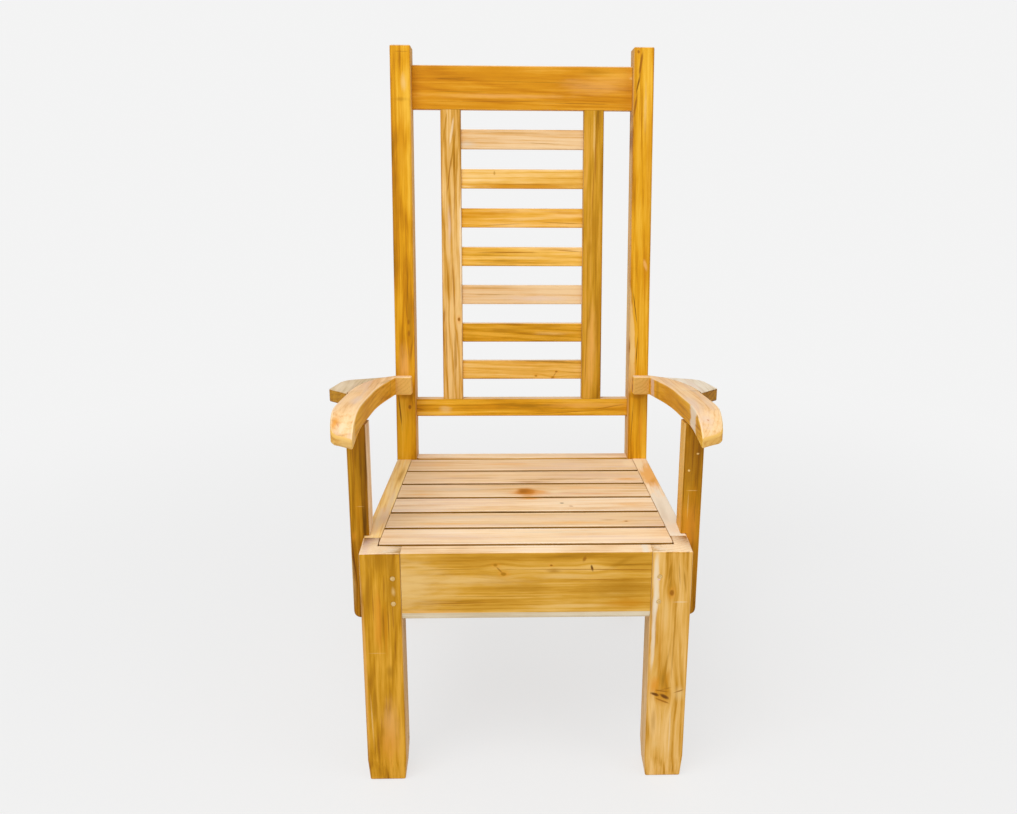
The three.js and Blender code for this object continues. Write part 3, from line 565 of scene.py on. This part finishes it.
        patch(DEEP_GOLD, 0.010, 0.0140, 0.090, 0.0036, strength=0.5),
    ],
    "seat_slat_1": [
        patch(ROSE, -0.120, -0.002, 0.130, 0.010, strength=0.5),
        patch(ROSE, 0.120, -0.006, 0.120, 0.008, strength=0.55),
        patch(ASH, 0.060, 0.014, 0.140, 0.006, strength=0.45),
        patch(PALE, 0.0, -0.026, 0.240, 0.004, strength=0.5),
    ],
    "seat_slat_2": [
        patch(ASH, -0.110, 0.012, 0.140, 0.012, strength=0.6),
        patch(APRICOT, -0.130, -0.018, 0.110, 0.007, strength=0.6),
        patch(APRICOT, 0.090, -0.016, 0.140, 0.010, strength=0.6),
        patch(PALE, 0.050, 0.026, 0.200, 0.004, strength=0.6),
        patch(OLIVE, 0.140, -0.004, 0.020, 0.006, strength=0.35),
        *knot(0.171, -0.0110, 0.0034, BROWN),
    ],
    "seat_slat_3": [
        patch(ROSE, -0.120, 0.006, 0.130, 0.014, strength=0.5),
        patch(ORANGE, 0.008, 0.0300, 0.030, 0.0110, strength=0.9),
        patch(APRICOT, 0.190, -0.004, 0.050, 0.016, strength=0.5),
        patch(PALE, 0.070, 0.004, 0.022, 0.014, strength=0.6),
        mark(FLINT, 0.066, 0.0045, 0.0048, 0.0030, strength=0.9),
        mark(BROWN, 0.081, -0.0100, 0.0052, 0.0020, turn=-12, strength=0.9),
        patch(STRAW, -0.050, -0.026, 0.160, 0.004, strength=0.6),
    ],
    "seat_slat_4": [
        patch(ASH, -0.120, 0.004, 0.090, 0.014, strength=0.55),
        patch(APRICOT, -0.190, -0.020, 0.050, 0.008, strength=0.5),
        patch(OLIVE, -0.050, 0.024, 0.100, 0.0035, strength=0.45),
        patch(APRICOT, 0.120, 0.010, 0.120, 0.014, strength=0.45),
        patch(ORANGE, 0.130, -0.020, 0.120, 0.007, strength=0.5),
        patch(PALE, 0.055, -0.010, 0.024, 0.012, strength=0.7),
        mark(ORANGE, 0.008, -0.0120, 0.046, 0.0270, strength=0.9, soft=0.1),
        mark(RUSSET, 0.004, -0.0080, 0.0260, 0.0240, strength=0.95, soft=0.35),
        mark(BROWN, 0.000, -0.0060, 0.0160, 0.0150, strength=0.8, soft=0.1),
    ],
    "seat_slat_5": [
        patch(ROSE, 0.120, 0.012, 0.120, 0.012, strength=0.5),
        patch(OLIVE, -0.100, -0.006, 0.085, 0.007, strength=0.45),
        patch(OLIVE, 0.060, -0.014, 0.130, 0.008, strength=0.65),
        patch(BROWN, 0.010, -0.0265, 0.055, 0.0060, turn=-2, strength=0.75),
        patch(ORANGE, 0.195, -0.014, 0.040, 0.009, strength=0.7),
        line(BROWN, 0.130, -0.0140, 0.060, width=0.0016, strength=0.6),
        patch(PALE, -0.060, -0.024, 0.150, 0.004, strength=0.6),
    ],
    "seat_slat_6": [
        patch(APRICOT, -0.030, 0.004, 0.070, 0.012, strength=0.5),
        patch(APRICOT, -0.170, 0.000, 0.060, 0.016, strength=0.35),
        patch(ROSE, 0.090, 0.000, 0.080, 0.014, strength=0.45),
        mark(PALE, 0.206, 0.004, 0.014, 0.030, strength=0.8),
    ],
    "rear_apron": [
        patch(APRICOT, -0.180, 0.0, 0.050, 0.060, strength=0.5),
        patch(APRICOT, 0.180, 0.0, 0.050, 0.060, strength=0.4),
    ],
    "side_rail_right": [
        mark(APRICOT, 0.105, 0.004, 0.080, 0.030, strength=0.9, soft=0.3, face="top"),
        patch(DEEP_GOLD, 0.070, 0.000, 0.030, 0.010, turn=20, strength=0.45, face="top"),
        mark(CHALK, -0.130, -0.006, 0.165, 0.040, turn=3, strength=0.85, soft=0.6, face="top"),
        patch(ASH, -0.080, -0.002, 0.080, 0.010, strength=0.6, face="top"),
        mark(PALE, 0.175, -0.016, 0.050, 0.012, strength=0.85, soft=0.4, face="top"),
    ],
    "side_rail_left": [
        patch(ROSE, -0.100, 0.0, 0.070, 0.014, strength=0.4, face="top"),
        patch(OLIVE, 0.110, 0.012, 0.060, 0.006, turn=3, strength=0.35, face="top"),
        patch(PALE, -0.150, -0.008, 0.050, 0.008, strength=0.5, face="top"),
        line(BARK, -0.182, 0.0200, 0.012, turn=-4, width=0.0011),
    ],
    "arm_post_left": [
        # Painted shade on the upper post under the arm.
        patch(BROWN, 0.150, 0.000, 0.060, 0.0300, strength=0.5),
        patch(OLIVE, 0.060, 0.008, 0.080, 0.0040, strength=0.5),
        patch(DEEP_GOLD, 0.020, -0.002, 0.060, 0.0060, strength=0.55),
        line(BROWN, 0.100, -0.0060, 0.070),
        line(BROWN, 0.040, 0.0110, 0.060, turn=-1),
        line(STRAW, 0.022, 0.0020, 0.0010, width=0.009, strength=0.45),
        patch(ORANGE, -0.030, -0.009, 0.014, 0.0060, strength=0.5),
        patch(STRAW, -0.100, -0.0160, 0.070, 0.0060, turn=-3, strength=0.6),
        line(BARK, -0.080, -0.0110, 0.060, turn=-4, width=0.0018, strength=0.85),
    ],
    "arm_post_right": [
        line(BARK, 0.110, -0.0020, 0.050, width=0.0016, strength=0.6),
        line(BARK, 0.120, 0.0070, 0.050, width=0.0014, strength=0.6),
        # Painted shade on the upper post under the arm.
        patch(UMBER, 0.110, 0.000, 0.110, 0.0400, strength=0.6, face="front"),
        patch(ORANGE, -0.020, -0.002, 0.080, 0.0240, strength=0.75),
        patch(OLIVE, 0.030, -0.004, 0.022, 0.0090, strength=0.55),
        patch(DEEP_GOLD, 0.040, 0.004, 0.034, 0.0080, strength=0.6),
        line(STRAW, 0.047, 0.0, 0.0010, width=0.014, strength=0.5),
        line(STRAW, 0.020, -0.0060, 0.030, width=0.0010, strength=0.5),
        mark(STRAW, 0.082, -0.0070, 0.0024, 0.0024, strength=1),
        mark(STRAW, 0.111, 0.0060, 0.0022, 0.0030, strength=0.9),
    ],
    "arm_left": [
        patch(ORANGE, -0.230, -0.033, 0.018, 0.009, strength=0.6, face="top"),
        patch(PALE, -0.247, -0.021, 0.016, 0.008, strength=0.6, face="top"),
        line(RUST, -0.236, -0.0290, 0.012, turn=-24, width=0.0014, strength=0.8),
        patch(ROSE, -0.100, -0.018, 0.070, 0.012, strength=0.4, face="top"),
        # A painted highlight in the scoop near the heel.
        mark(TAN, 0.172, 0.0140, 0.058, 0.0140, turn=15, strength=0.85, soft=0.5, face="top"),
        line(BROWN, 0.160, 0.0040, 0.046, turn=15, width=0.0012, strength=0.5),
        mark(STRAW, -0.262, -0.005, 0.034, 0.030, strength=0.75, soft=0.3, face="side"),
        patch(DEEP_GOLD, -0.100, 0.000, 0.080, 0.030, strength=0.5, face="side"),
    ],
    "arm_right": [
        mark(RUST, -0.234, 0.0170, 0.0022, 0.0022, strength=0.9, face="top"),
        patch(ROSE, -0.130, 0.010, 0.110, 0.014, strength=0.4, face="top"),
        mark(CHALK, -0.186, 0.002, 0.034, 0.040, strength=0.85, soft=0.5, face="side"),
        patch(OLIVE, -0.224, 0.002, 0.008, 0.040, strength=0.6, face="side"),
        mark(ROSE, 0.200, -0.020, 0.018, 0.040, strength=0.8, soft=0.5, face="side"),
        patch(DEEP_GOLD, 0.050, -0.010, 0.110, 0.040, strength=0.6, face="side"),
        patch(BROWN, 0.160, -0.014, 0.020, 0.040, strength=0.4, face="side"),
    ],
}

# Knots that the grain flows round: place along and across, reach along and across
KNOT_PRESS = -0.75
EDDIES = {
    "front_leg_right": [(-0.051, -0.006, 0.040, 0.022), (0.138, 0.001, 0.022, 0.012)],
    "seat_slat_4": [(0.006, -0.009, 0.050, 0.018)],
    "back_slat_7": [(0.064, -0.008, 0.022, 0.010), (0.027, -0.011, 0.014, 0.007)],
    "front_apron": [(-0.044, 0.029, 0.026, 0.014), (0.104, 0.031, 0.018, 0.009)],
    "back_post_left": [(0.066, 0.008, 0.050, 0.010), (-0.089, 0.0075, 0.016, 0.008)],
    "back_stile_left": [(-0.119, 0.0125, 0.030, 0.012)],
    "seat_slat_2": [(0.171, -0.011, 0.022, 0.008)],
}

# What a board has unless its own entry says otherwise
# top is the paler palette painted on upward faces as light from above; the side and nose shares
# give it on sides and fronts
USUAL = dict(
    top="cream", grain="z", tilt=0, arris=0.0024, end="ear_brown", contrast=1, clouds=0.7,
    arris_tone=-0.12, sides=0.3, nose=0, pores=1, bevel=False, raked_foot=False,
)


def board(slot, palette, **own):
    return {**USUAL, "slot": slot, "palette": palette, **own}


# Every wooden piece: its slot, its colours, the way its grain runs and how its arrises are rounded
def make_boards():
    # Leg tops take a pale end-grain colour, painted as light from above.
    leg = dict(top="milk", arris=0.0026, end="milk", pores=0.5)
    post = dict(tilt=-RECLINE, arris=0.0026, end="heel_tan", raked_foot=True)
    stile = dict(tilt=-RECLINE, arris=0.0022)
    apron = dict(top="milk", grain="x")
    rail = dict(grain="y", contrast=0.8)
    wing = dict(grain="y", tilt=-ARM_SLOPE, sides=0, contrast=0.7)
    # The arms' lighter arrises are a painted highlight.
    arm = dict(
        top="peach", grain="y", tilt=-ARM_SLOPE, arris=0.003, end="heel_tan", contrast=0.8,
        arris_tone=0.5, sides=0, nose=0.28, pores=0.4,
    )
    arm_post = dict(sides=0.85, contrast=1.1)
    slat = dict(grain="flat", arris=0.0022, contrast=0.75, arris_tone=0.25)
    bearer = dict(top="raw", grain="y", arris=0.001)
    tongue = dict(top="raw", grain="y", arris=0.0006)
    boards = {
        "front_leg_left": board("frame_wood", "brown_gold", contrast=0.9, **leg),
        "front_leg_right": board("frame_wood", "peach_honey", **leg),
        "back_post_left": board("frame_wood", "gold", sides=0.25, **post),
        "back_post_right": board("frame_wood", "gold", sides=0.35, **post),
        "front_apron": board(
            "frame_wood", "ochre", arris=0.0018, contrast=0.75, clouds=1.3, bevel=True, **apron,
        ),
        "rear_apron": board("top_wood", "ochre", arris=0.0022, **apron),
        "crest_rail": board("rail_wood", "amber", grain="x", contrast=0.8),
        "lower_back_rail": board("rail_wood", "rail_gold", grain="x", arris=0.0022),
        "back_stile_left": board("frame_wood", "tan", contrast=1.2, **stile),
        "back_stile_right": board("frame_wood", "olive_gold", **stile),
        "side_rail_left": board("top_wood", "ochre", top="rail_peach", **rail),
        "side_rail_right": board("top_wood", "ochre", top="milk", **rail),
        "arm_wing_left": board("arm_wood", "umber", top="ash_tan", **wing),
        "arm_wing_right": board("arm_wood", "umber", top="ash_cream", **wing),
        "arm_post_left": board("post_wood", "umber", top="milk", **arm_post),
        "arm_post_right": board("post_wood", "umber", top="bright_honey", **arm_post),
        "seat_bearer_middle": board("inner_wood", "raw", **bearer),
    }
    for side in ("left", "right"):
        boards[f"seat_bearer_{side}"] = board("inner_wood", "raw", **bearer)
        boards[f"arm_wing_tongue_{side}"] = board("inner_wood", "raw", **tongue)
        boards[f"arm_{side}"] = board("arm_wood", "gold", **arm)
    back = (
        "pale_honey", "soft_honey", "honey", "bright_honey", "pale_honey", "brown_gold",
        "soft_honey",
    )
    for number, palette in enumerate(back, 1):
        boards[f"back_slat_{number}"] = board("frame_wood", palette, grain="x", arris=0.0018)
    tops = ("milk", "cream", "milk", "cream", "cream", "cream")
    for number, palette in enumerate(tops, 1):
        boards[f"seat_slat_{number}"] = board("top_wood", "olive_brown", top=palette, **slat)
    return boards


# The grain's own directions: along the fibres, across the board's face and through its thickness
GRAINS = {"x": (X, Z, Y), "y": (Y, X, Z), "z": (Z, X, Y), "flat": (X, Y, Z)}


def grain_axes(spec):
    turn = Matrix.Rotation(spec["tilt"], 3, "X")
    return [turn @ axis for axis in GRAINS[spec["grain"]]]


def middle(name, axis):
    low, high = (corner.dot(axis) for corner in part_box(name))
    return (low + high) / 2


class Board:
    """One board's colour and surface, written as a material."""

    def __init__(self, name, spec):
        self.name = name
        self.spec = spec
        self.marks = MARKS.get(name, ())
        self.chance = random.Random(name)
        self.graph = g = material_graph(name)
        coordinates = g.add("ShaderNodeTexCoord")
        self.place = coordinates.outputs["Object"]
        self.normal = coordinates.outputs["Normal"]
        self.axes = grain_axes(spec)
        self.offset = [self.chance.uniform(-NOISE_REACH, NOISE_REACH) for _ in self.axes]
        self.plain = [
            g.math("SUBTRACT", g.dot(self.place, axis), middle(name, axis)) for axis in self.axes
        ]
        if spec["raked_foot"]:
            self.follow_foot()
        self.lines = self.flow_round_knots()

    def follow_foot(self):
        """Leans the depth coordinate below the knee, so that the grain runs down the raked foot."""
        g = self.graph
        above_knee = g.math("SUBTRACT", g.dot(self.place, Z), KNEE_HEIGHT)
        below = g.math("SMOOTH_MIN", above_knee, 0, KNEE_BEND)
        lean = math.sin(FOOT_RAKE + RECLINE) / math.cos(FOOT_RAKE)
        self.plain[2] = g.math("MULTIPLY_ADD", below, lean, self.plain[2])

    def flow_round_knots(self):
        """The grain's coordinates, pressed aside by each knot so that the grain runs round it."""
        g = self.graph
        along, across, depth = self.plain
        for knot_along, knot_across, reach_along, reach_across in EDDIES.get(self.name, ()):
            u = g.math("DIVIDE", g.math("SUBTRACT", along, knot_along), reach_along)
            away = g.math("SUBTRACT", across, knot_across)
            v = g.math("DIVIDE", away, reach_across)
            reach = g.combine(u, v)
            falloff = g.math("EXPONENT", g.math("MULTIPLY", g.dot(reach, reach), -1))
            across = g.math("MULTIPLY_ADD", g.math("MULTIPLY", away, falloff), KNOT_PRESS, across)
        return along, across, depth

    def layer(self, name):
        """One layer of noise, stretched along the grain."""
        g = self.graph
        run, width, shift, settings = LAYERS[name]
        parts = [
            g.math("MULTIPLY_ADD", value, 1 / size, offset + shift)
            for value, size, offset in zip(self.lines, (run, width, width), self.offset)
        ]
        return g.noise(g.combine(*parts), **settings)

    def rings(self, bands):
        """Growth rings round a pith that lies outside the board and leans a little."""
        g = self.graph
        along, across, depth = self.lines
        spacing = self.chance.uniform(*RING_SPACING)
        lean = self.chance.uniform(*PITH_LEAN)
        aside = self.chance.choice((-1, 1)) * self.chance.uniform(*PITH_ASIDE)
        deep = self.chance.uniform(*PITH_DEPTH)
        ring_across = g.math("SUBTRACT", across, aside)
        ring_depth = g.math("MULTIPLY_ADD", along, lean, g.math("SUBTRACT", depth, deep))
        radius = g.length(g.combine(ring_across, ring_depth))
        phase = g.math("MULTIPLY_ADD", bands, RING_WAVER, g.math("DIVIDE", radius, spacing))
        wave = g.math("SINE", g.math("MULTIPLY", phase, 2 * math.pi))
        return g.math("POWER", g.math("MULTIPLY_ADD", wave, 0.5, 0.5), RING_SHARPNESS)

    def tone(self, noise, rings):
        """How light the wood is: 0.5 in the middle, and less in its dark lines and rings."""
        g, spec = self.graph, self.spec
        contrast = spec["contrast"]
        amounts = {
            "bands": BAND_TONE * contrast,
            "streaks": STREAK_TONE * contrast,
            "lines": LINE_TONE * contrast,
            "clouds": spec["clouds"] * contrast,
            "fibres": FIBRE_TONE,
        }
        tone = 0.5
        for name, amount in amounts.items():
            tone = g.math("MULTIPLY_ADD", g.math("SUBTRACT", noise[name], 0.5), amount, tone)
        lifted = g.math("ADD", tone, TONE_LIFT)
        tone = g.math("MULTIPLY_ADD", rings, RING_TONE * contrast, lifted)
        # Arrises shift in tone by the board's entry: lighter on the arms as a painted highlight,
        # lighter on the seat slats, darker on the rest.
        arris_tone = g.add("ShaderNodeAttribute", attribute_name="arris_tone").outputs["Fac"]
        return g.math("MULTIPLY_ADD", arris_tone, spec["arris_tone"], tone)

    def colors(self, palette, tone):
        """The palette laid over the tone, with a deeper shade below its dark grain."""
        dark, mid, light = (linear(color) for color in PALETTES[palette])
        deep = tuple(channel * DEEPEST for channel in dark[:3]) + (1,)
        return self.graph.ramp(tone, list(zip(TONE_STOPS, (deep, dark, mid, light))))

    def facing(self, axis, low, high, share=1):
        """A share where the face looks along the axis, one way or the other."""
        g = self.graph
        return g.blend(g.math("ABSOLUTE", g.dot(self.normal, axis)), low, high, 0, share)

    def add_mark(self, color, spot, wobble):
        """The colour with one mark laid over it, whose edge wobbles with the grain."""
        g = self.graph
        along, across = self.plain[:2]
        cos, sin = math.cos(spot.turn), math.sin(spot.turn)
        u = g.math("SUBTRACT", along, spot.along)
        v = g.math("SUBTRACT", across, spot.across)
        turned_u = g.math(
            "MULTIPLY_ADD", v, sin / spot.length, g.math("MULTIPLY", u, cos / spot.length),
        )
        turned_v = g.math(
            "MULTIPLY_ADD", v, cos / spot.width, g.math("MULTIPLY", u, -sin / spot.width),
        )
        radius = g.math("ADD", g.length(g.combine(turned_u, turned_v)), wobble)
        share = g.blend(radius, 1, spot.soft, 0, spot.strength)
        if spot.face:
            share = g.math("MULTIPLY", share, self.facing(*MARK_FACES[spot.face]))
        return g.mix(share, color, linear(spot.color))

    def bevel_band(self):
        """The pale, planed band along the lower front edge."""
        low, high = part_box(self.name)
        edge = (low.z - high.z) / 2 + BEVEL_RISE
        return self.graph.blend(self.plain[1], edge, edge - BEVEL_FADE)

    def end_grain(self, rings):
        """The ends' own colour, with pores and rings instead of fibres."""
        g, spec = self.graph, self.spec
        grit = g.noise(g.scaled(self.place, PORE_SCALE), detail=3, roughness=0.7)
        tone = g.math("MULTIPLY_ADD", g.math("SUBTRACT", grit, 0.5), PORE_TONE * spec["pores"], 0.5)
        tone = g.math("MULTIPLY_ADD", rings, END_RING_TONE * spec["pores"], tone)
        return self.colors(spec["end"], tone)

    def color(self, noise, rings):
        """The board's colour: front faces, faces painted paler as light from above, marks, bevel,
        ends, and marks on the top.
        """
        g, spec = self.graph, self.spec
        tone = self.tone(noise, rings)
        # Painted light from above: tops, and sides and fronts by their share, take the paler top
        # palette.
        upward_lit_share = g.blend(g.dot(self.normal, Z), *PAINTED_TOP_LIGHT)
        side_lit_share = self.facing(X, *PAINTED_SIDE_LIGHT, spec["sides"])
        front_lit_share = self.facing(Y, *PAINTED_FRONT_LIGHT, spec["nose"])
        painted_light = g.math("MAXIMUM", g.math("MAXIMUM", upward_lit_share, side_lit_share), front_lit_share)
        color = g.mix(painted_light, self.colors(spec["palette"], tone), self.colors(spec["top"], tone))
        rosy = g.blend(noise["rosy"], *ROSY_TONE, 0, ROSY_SHARE)
        color = g.mix(g.math("MULTIPLY", rosy, upward_lit_share), color, linear(ROSE))
        wobble = g.math("MULTIPLY_ADD", noise["wobble"], MARK_WOBBLE, -MARK_WOBBLE / 2)
        for spot in self.marks:
            color = self.add_mark(color, spot, wobble)
        if spec["bevel"]:
            color = g.mix(self.bevel_band(), color, self.colors("planed_ash", tone))
        ends = self.facing(self.axes[0], *END_FACE, END_SHARE)
        color = g.mix(ends, color, self.end_grain(rings))
        for spot in self.marks:
            if spot.face == "top":
                color = self.add_mark(color, spot, wobble)
        return color

    def material(self):
        g = self.graph
        noise = {name: self.layer(name) for name in LAYERS}
        rings = self.rings(noise["bands"])
        relief = g.math("MULTIPLY_ADD", noise["streaks"], STREAK_HEIGHT, noise["fibres"])
        height = g.math("MULTIPLY_ADD", rings, RING_HEIGHT, relief)
        return g.principled({
            "Base Color": self.color(noise, rings),
            "Roughness": g.math("MULTIPLY_ADD", noise["fibres"], FIBRE_ROUGHNESS, OIL_ROUGHNESS),
            "Normal": g.bump(height, *GRAIN_BUMP),
            "Specular IOR Level": OIL_SPECULAR,
        })


# Geometry: each board is a copy of its solid with its open arrises rounded
def solid_copy(node):
    mesh = bmesh.new()
    mesh.from_mesh(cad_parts[node].data)
    bmesh.ops.remove_doubles(mesh, verts=mesh.verts, dist=MERGE)
    bmesh.ops.dissolve_limit(
        mesh, angle_limit=FLAT, use_dissolve_boundaries=False,
        verts=mesh.verts, edges=mesh.edges, delimit=set(),
    )
    return mesh


def all_solids():
    """One search tree of every CAD triangle, and the node that each triangle belongs to."""
    points, triangles, owners = [], [], []
    for name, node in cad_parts.items():
        first = len(points)
        points.extend(vertex.co.copy() for vertex in node.data.vertices)
        for polygon in node.data.polygons:
            triangles.append([first + index for index in polygon.vertices])
            owners.append(name)
    return BVHTree.FromPolygons(points, triangles), owners


def covered(edge, face, node, tree, owners):
    """True if another piece lies against this face beside the edge."""
    start, end = (vertex.co for vertex in edge.verts)
    inward = face.normal.cross(end - start).normalized()
    if inward.dot(face.calc_center_median() - start) < 0:
        inward.negate()
    hits = 0
    for share in COVER_SAMPLES:
        point = start.lerp(end, share) + inward * COVER_STEP
        near = tree.find_nearest_range(point, COVER_GAP)
        hits += any(owners[index] != node for _, _, index, _ in near)
    return hits >= COVER_NEEDED


def open_arrises(mesh, node, tree, owners):
    found = []
    for edge in mesh.edges:
        if len(edge.link_faces) != 2 or not edge.is_convex or edge.calc_face_angle() < SHARP:
            continue
        if not any(covered(edge, face, node, tree, owners) for face in edge.link_faces):
            found.append(edge)
    return found


def rounded_board(node, spec, tree, owners):
    """Adds the wooden piece of one node, with its rounded arrises marked for a shift of tone, which
    on the arms is a painted highlight.
    """
    mesh = solid_copy(node)
    arris_tone = mesh.loops.layers.float.new("arris_tone")
    arrises = open_arrises(mesh, node, tree, owners)
    made = bmesh.ops.bevel(
        mesh, geom=arrises, offset=spec["arris"], offset_type="OFFSET", profile=0.5,
        segments=ARRIS_STEPS, affect="EDGES", clamp_overlap=False,
    )
    for face in made["faces"]:
        for loop in face.loops:
            loop[arris_tone] = 1
    bmesh.ops.triangulate(mesh, faces=[f for f in mesh.faces if len(f.verts) > 4])
    data = bpy.data.meshes.new(f"{node}_wood")
    mesh.to_mesh(data)
    mesh.free()
    data.shade_smooth()
    data.set_sharp_from_angle(angle=SMOOTH)
    piece = bpy.data.objects.new(f"{node}_wood", data)
    bpy.context.collection.objects.link(piece)
    smooth = piece.modifiers.new("normals", "WEIGHTED_NORMAL")
    smooth.keep_sharp = True
    data.materials.append(Board(node, spec).material())
    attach(piece, "root")
    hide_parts(node)


def speckled(g, scale, colors, roughness):
    """Fine noise over a small piece, and the colour that it gives."""
    place = g.add("ShaderNodeTexCoord").outputs["Object"]
    speckle = g.noise(g.scaled(place, scale), detail=3, roughness=roughness)
    return speckle, g.ramp(speckle, list(zip(SPECKLE_STOPS, map(linear, colors))))


def plug_wood(name):
    g = material_graph(name)
    grain, color = speckled(g, PEG_SCALE, PEG_COLORS, roughness=0.65)
    bump = g.bump(grain, *PEG_BUMP)
    return g.principled({"Base Color": color, "Roughness": PEG_ROUGHNESS, "Normal": bump})


def brass(name):
    g = material_graph(name)
    stain, color = speckled(g, BRASS_SCALE, BRASS_COLORS, roughness=0.6)
    rough = g.blend(stain, *SPECKLE_STOPS, *BRASS_ROUGHNESS)
    return g.principled({"Base Color": color, "Roughness": rough, "Metallic": 1})


def make_fasteners(boards):
    """Pegs, plugs and screws stay as they are in the frame and only take a finish."""
    finishes = {"peg_wood": plug_wood("peg_wood"), "screw_brass": brass("screw_brass")}
    for name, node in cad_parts.items():
        if name in boards:
            continue
        slot = "screw_brass" if "screw" in name else "peg_wood"
        node.data.materials.clear()
        node.data.materials.append(finishes[slot])


def floor_material():
    """A matt floor that looks like the backdrop, but keeps a little of its shade near the chair."""
    g = material_graph("floor")
    path = g.add("ShaderNodeLightPath").outputs
    seen = g.math("MAXIMUM", path["Is Camera Ray"], path["Is Glossy Ray"])
    seen = g.math("MAXIMUM", seen, path["Is Transmission Ray"])
    away = g.length(g.add("ShaderNodeTexCoord").outputs["Object"])
    faded = g.blend(away, FLOOR_CLEAR, FLOOR_FADED, FLOOR_GLOW, 1)
    matt = g.add("ShaderNodeBsdfDiffuse", {"Color": FLOOR_COLOR}).outputs[0]
    glow = g.add("ShaderNodeEmission", {"Color": BACKDROP, "Strength": 1}).outputs[0]
    mixed = {0: g.math("MULTIPLY", seen, faded), 1: matt, 2: glow}
    return g.finish(g.add("ShaderNodeMixShader", mixed).outputs[0])


def make_stage():
    data = bpy.data.meshes.new("floor")
    half = FLOOR_SIZE / 2
    corners = [(-half, -half, 0), (half, -half, 0), (half, half, 0), (-half, half, 0)]
    data.from_pydata(corners, [], [(0, 1, 2, 3)])
    floor = bpy.data.objects.new("floor", data)
    floor.location.z = -FLOOR_DROP
    bpy.context.collection.objects.link(floor)
    data.materials.append(floor_material())


def make_world():
    g = Graph(bpy.data.worlds.new("studio"))
    path = g.add("ShaderNodeLightPath").outputs
    room = g.add("ShaderNodeBackground", {"Color": WHITE, "Strength": ROOM_LIGHT}).outputs[0]
    backdrop = g.add("ShaderNodeBackground", {"Color": BACKDROP, "Strength": 1}).outputs[0]
    mixed = g.add("ShaderNodeMixShader", {0: path["Is Camera Ray"], 1: room, 2: backdrop})
    bpy.context.scene.world = g.finish(mixed.outputs[0], "ShaderNodeOutputWorld")


make_camera()
make_world()
make_stage()
make_light("key", **KEY_LIGHT)
make_light("fill", **FILL_LIGHT)

BOARDS = make_boards()
solids, solid_owners = all_solids()
for board_name, board_spec in BOARDS.items():
    rounded_board(board_name, board_spec, solids, solid_owners)
make_fasteners(BOARDS)

bpy.context.scene.view_settings.view_transform = "Standard"
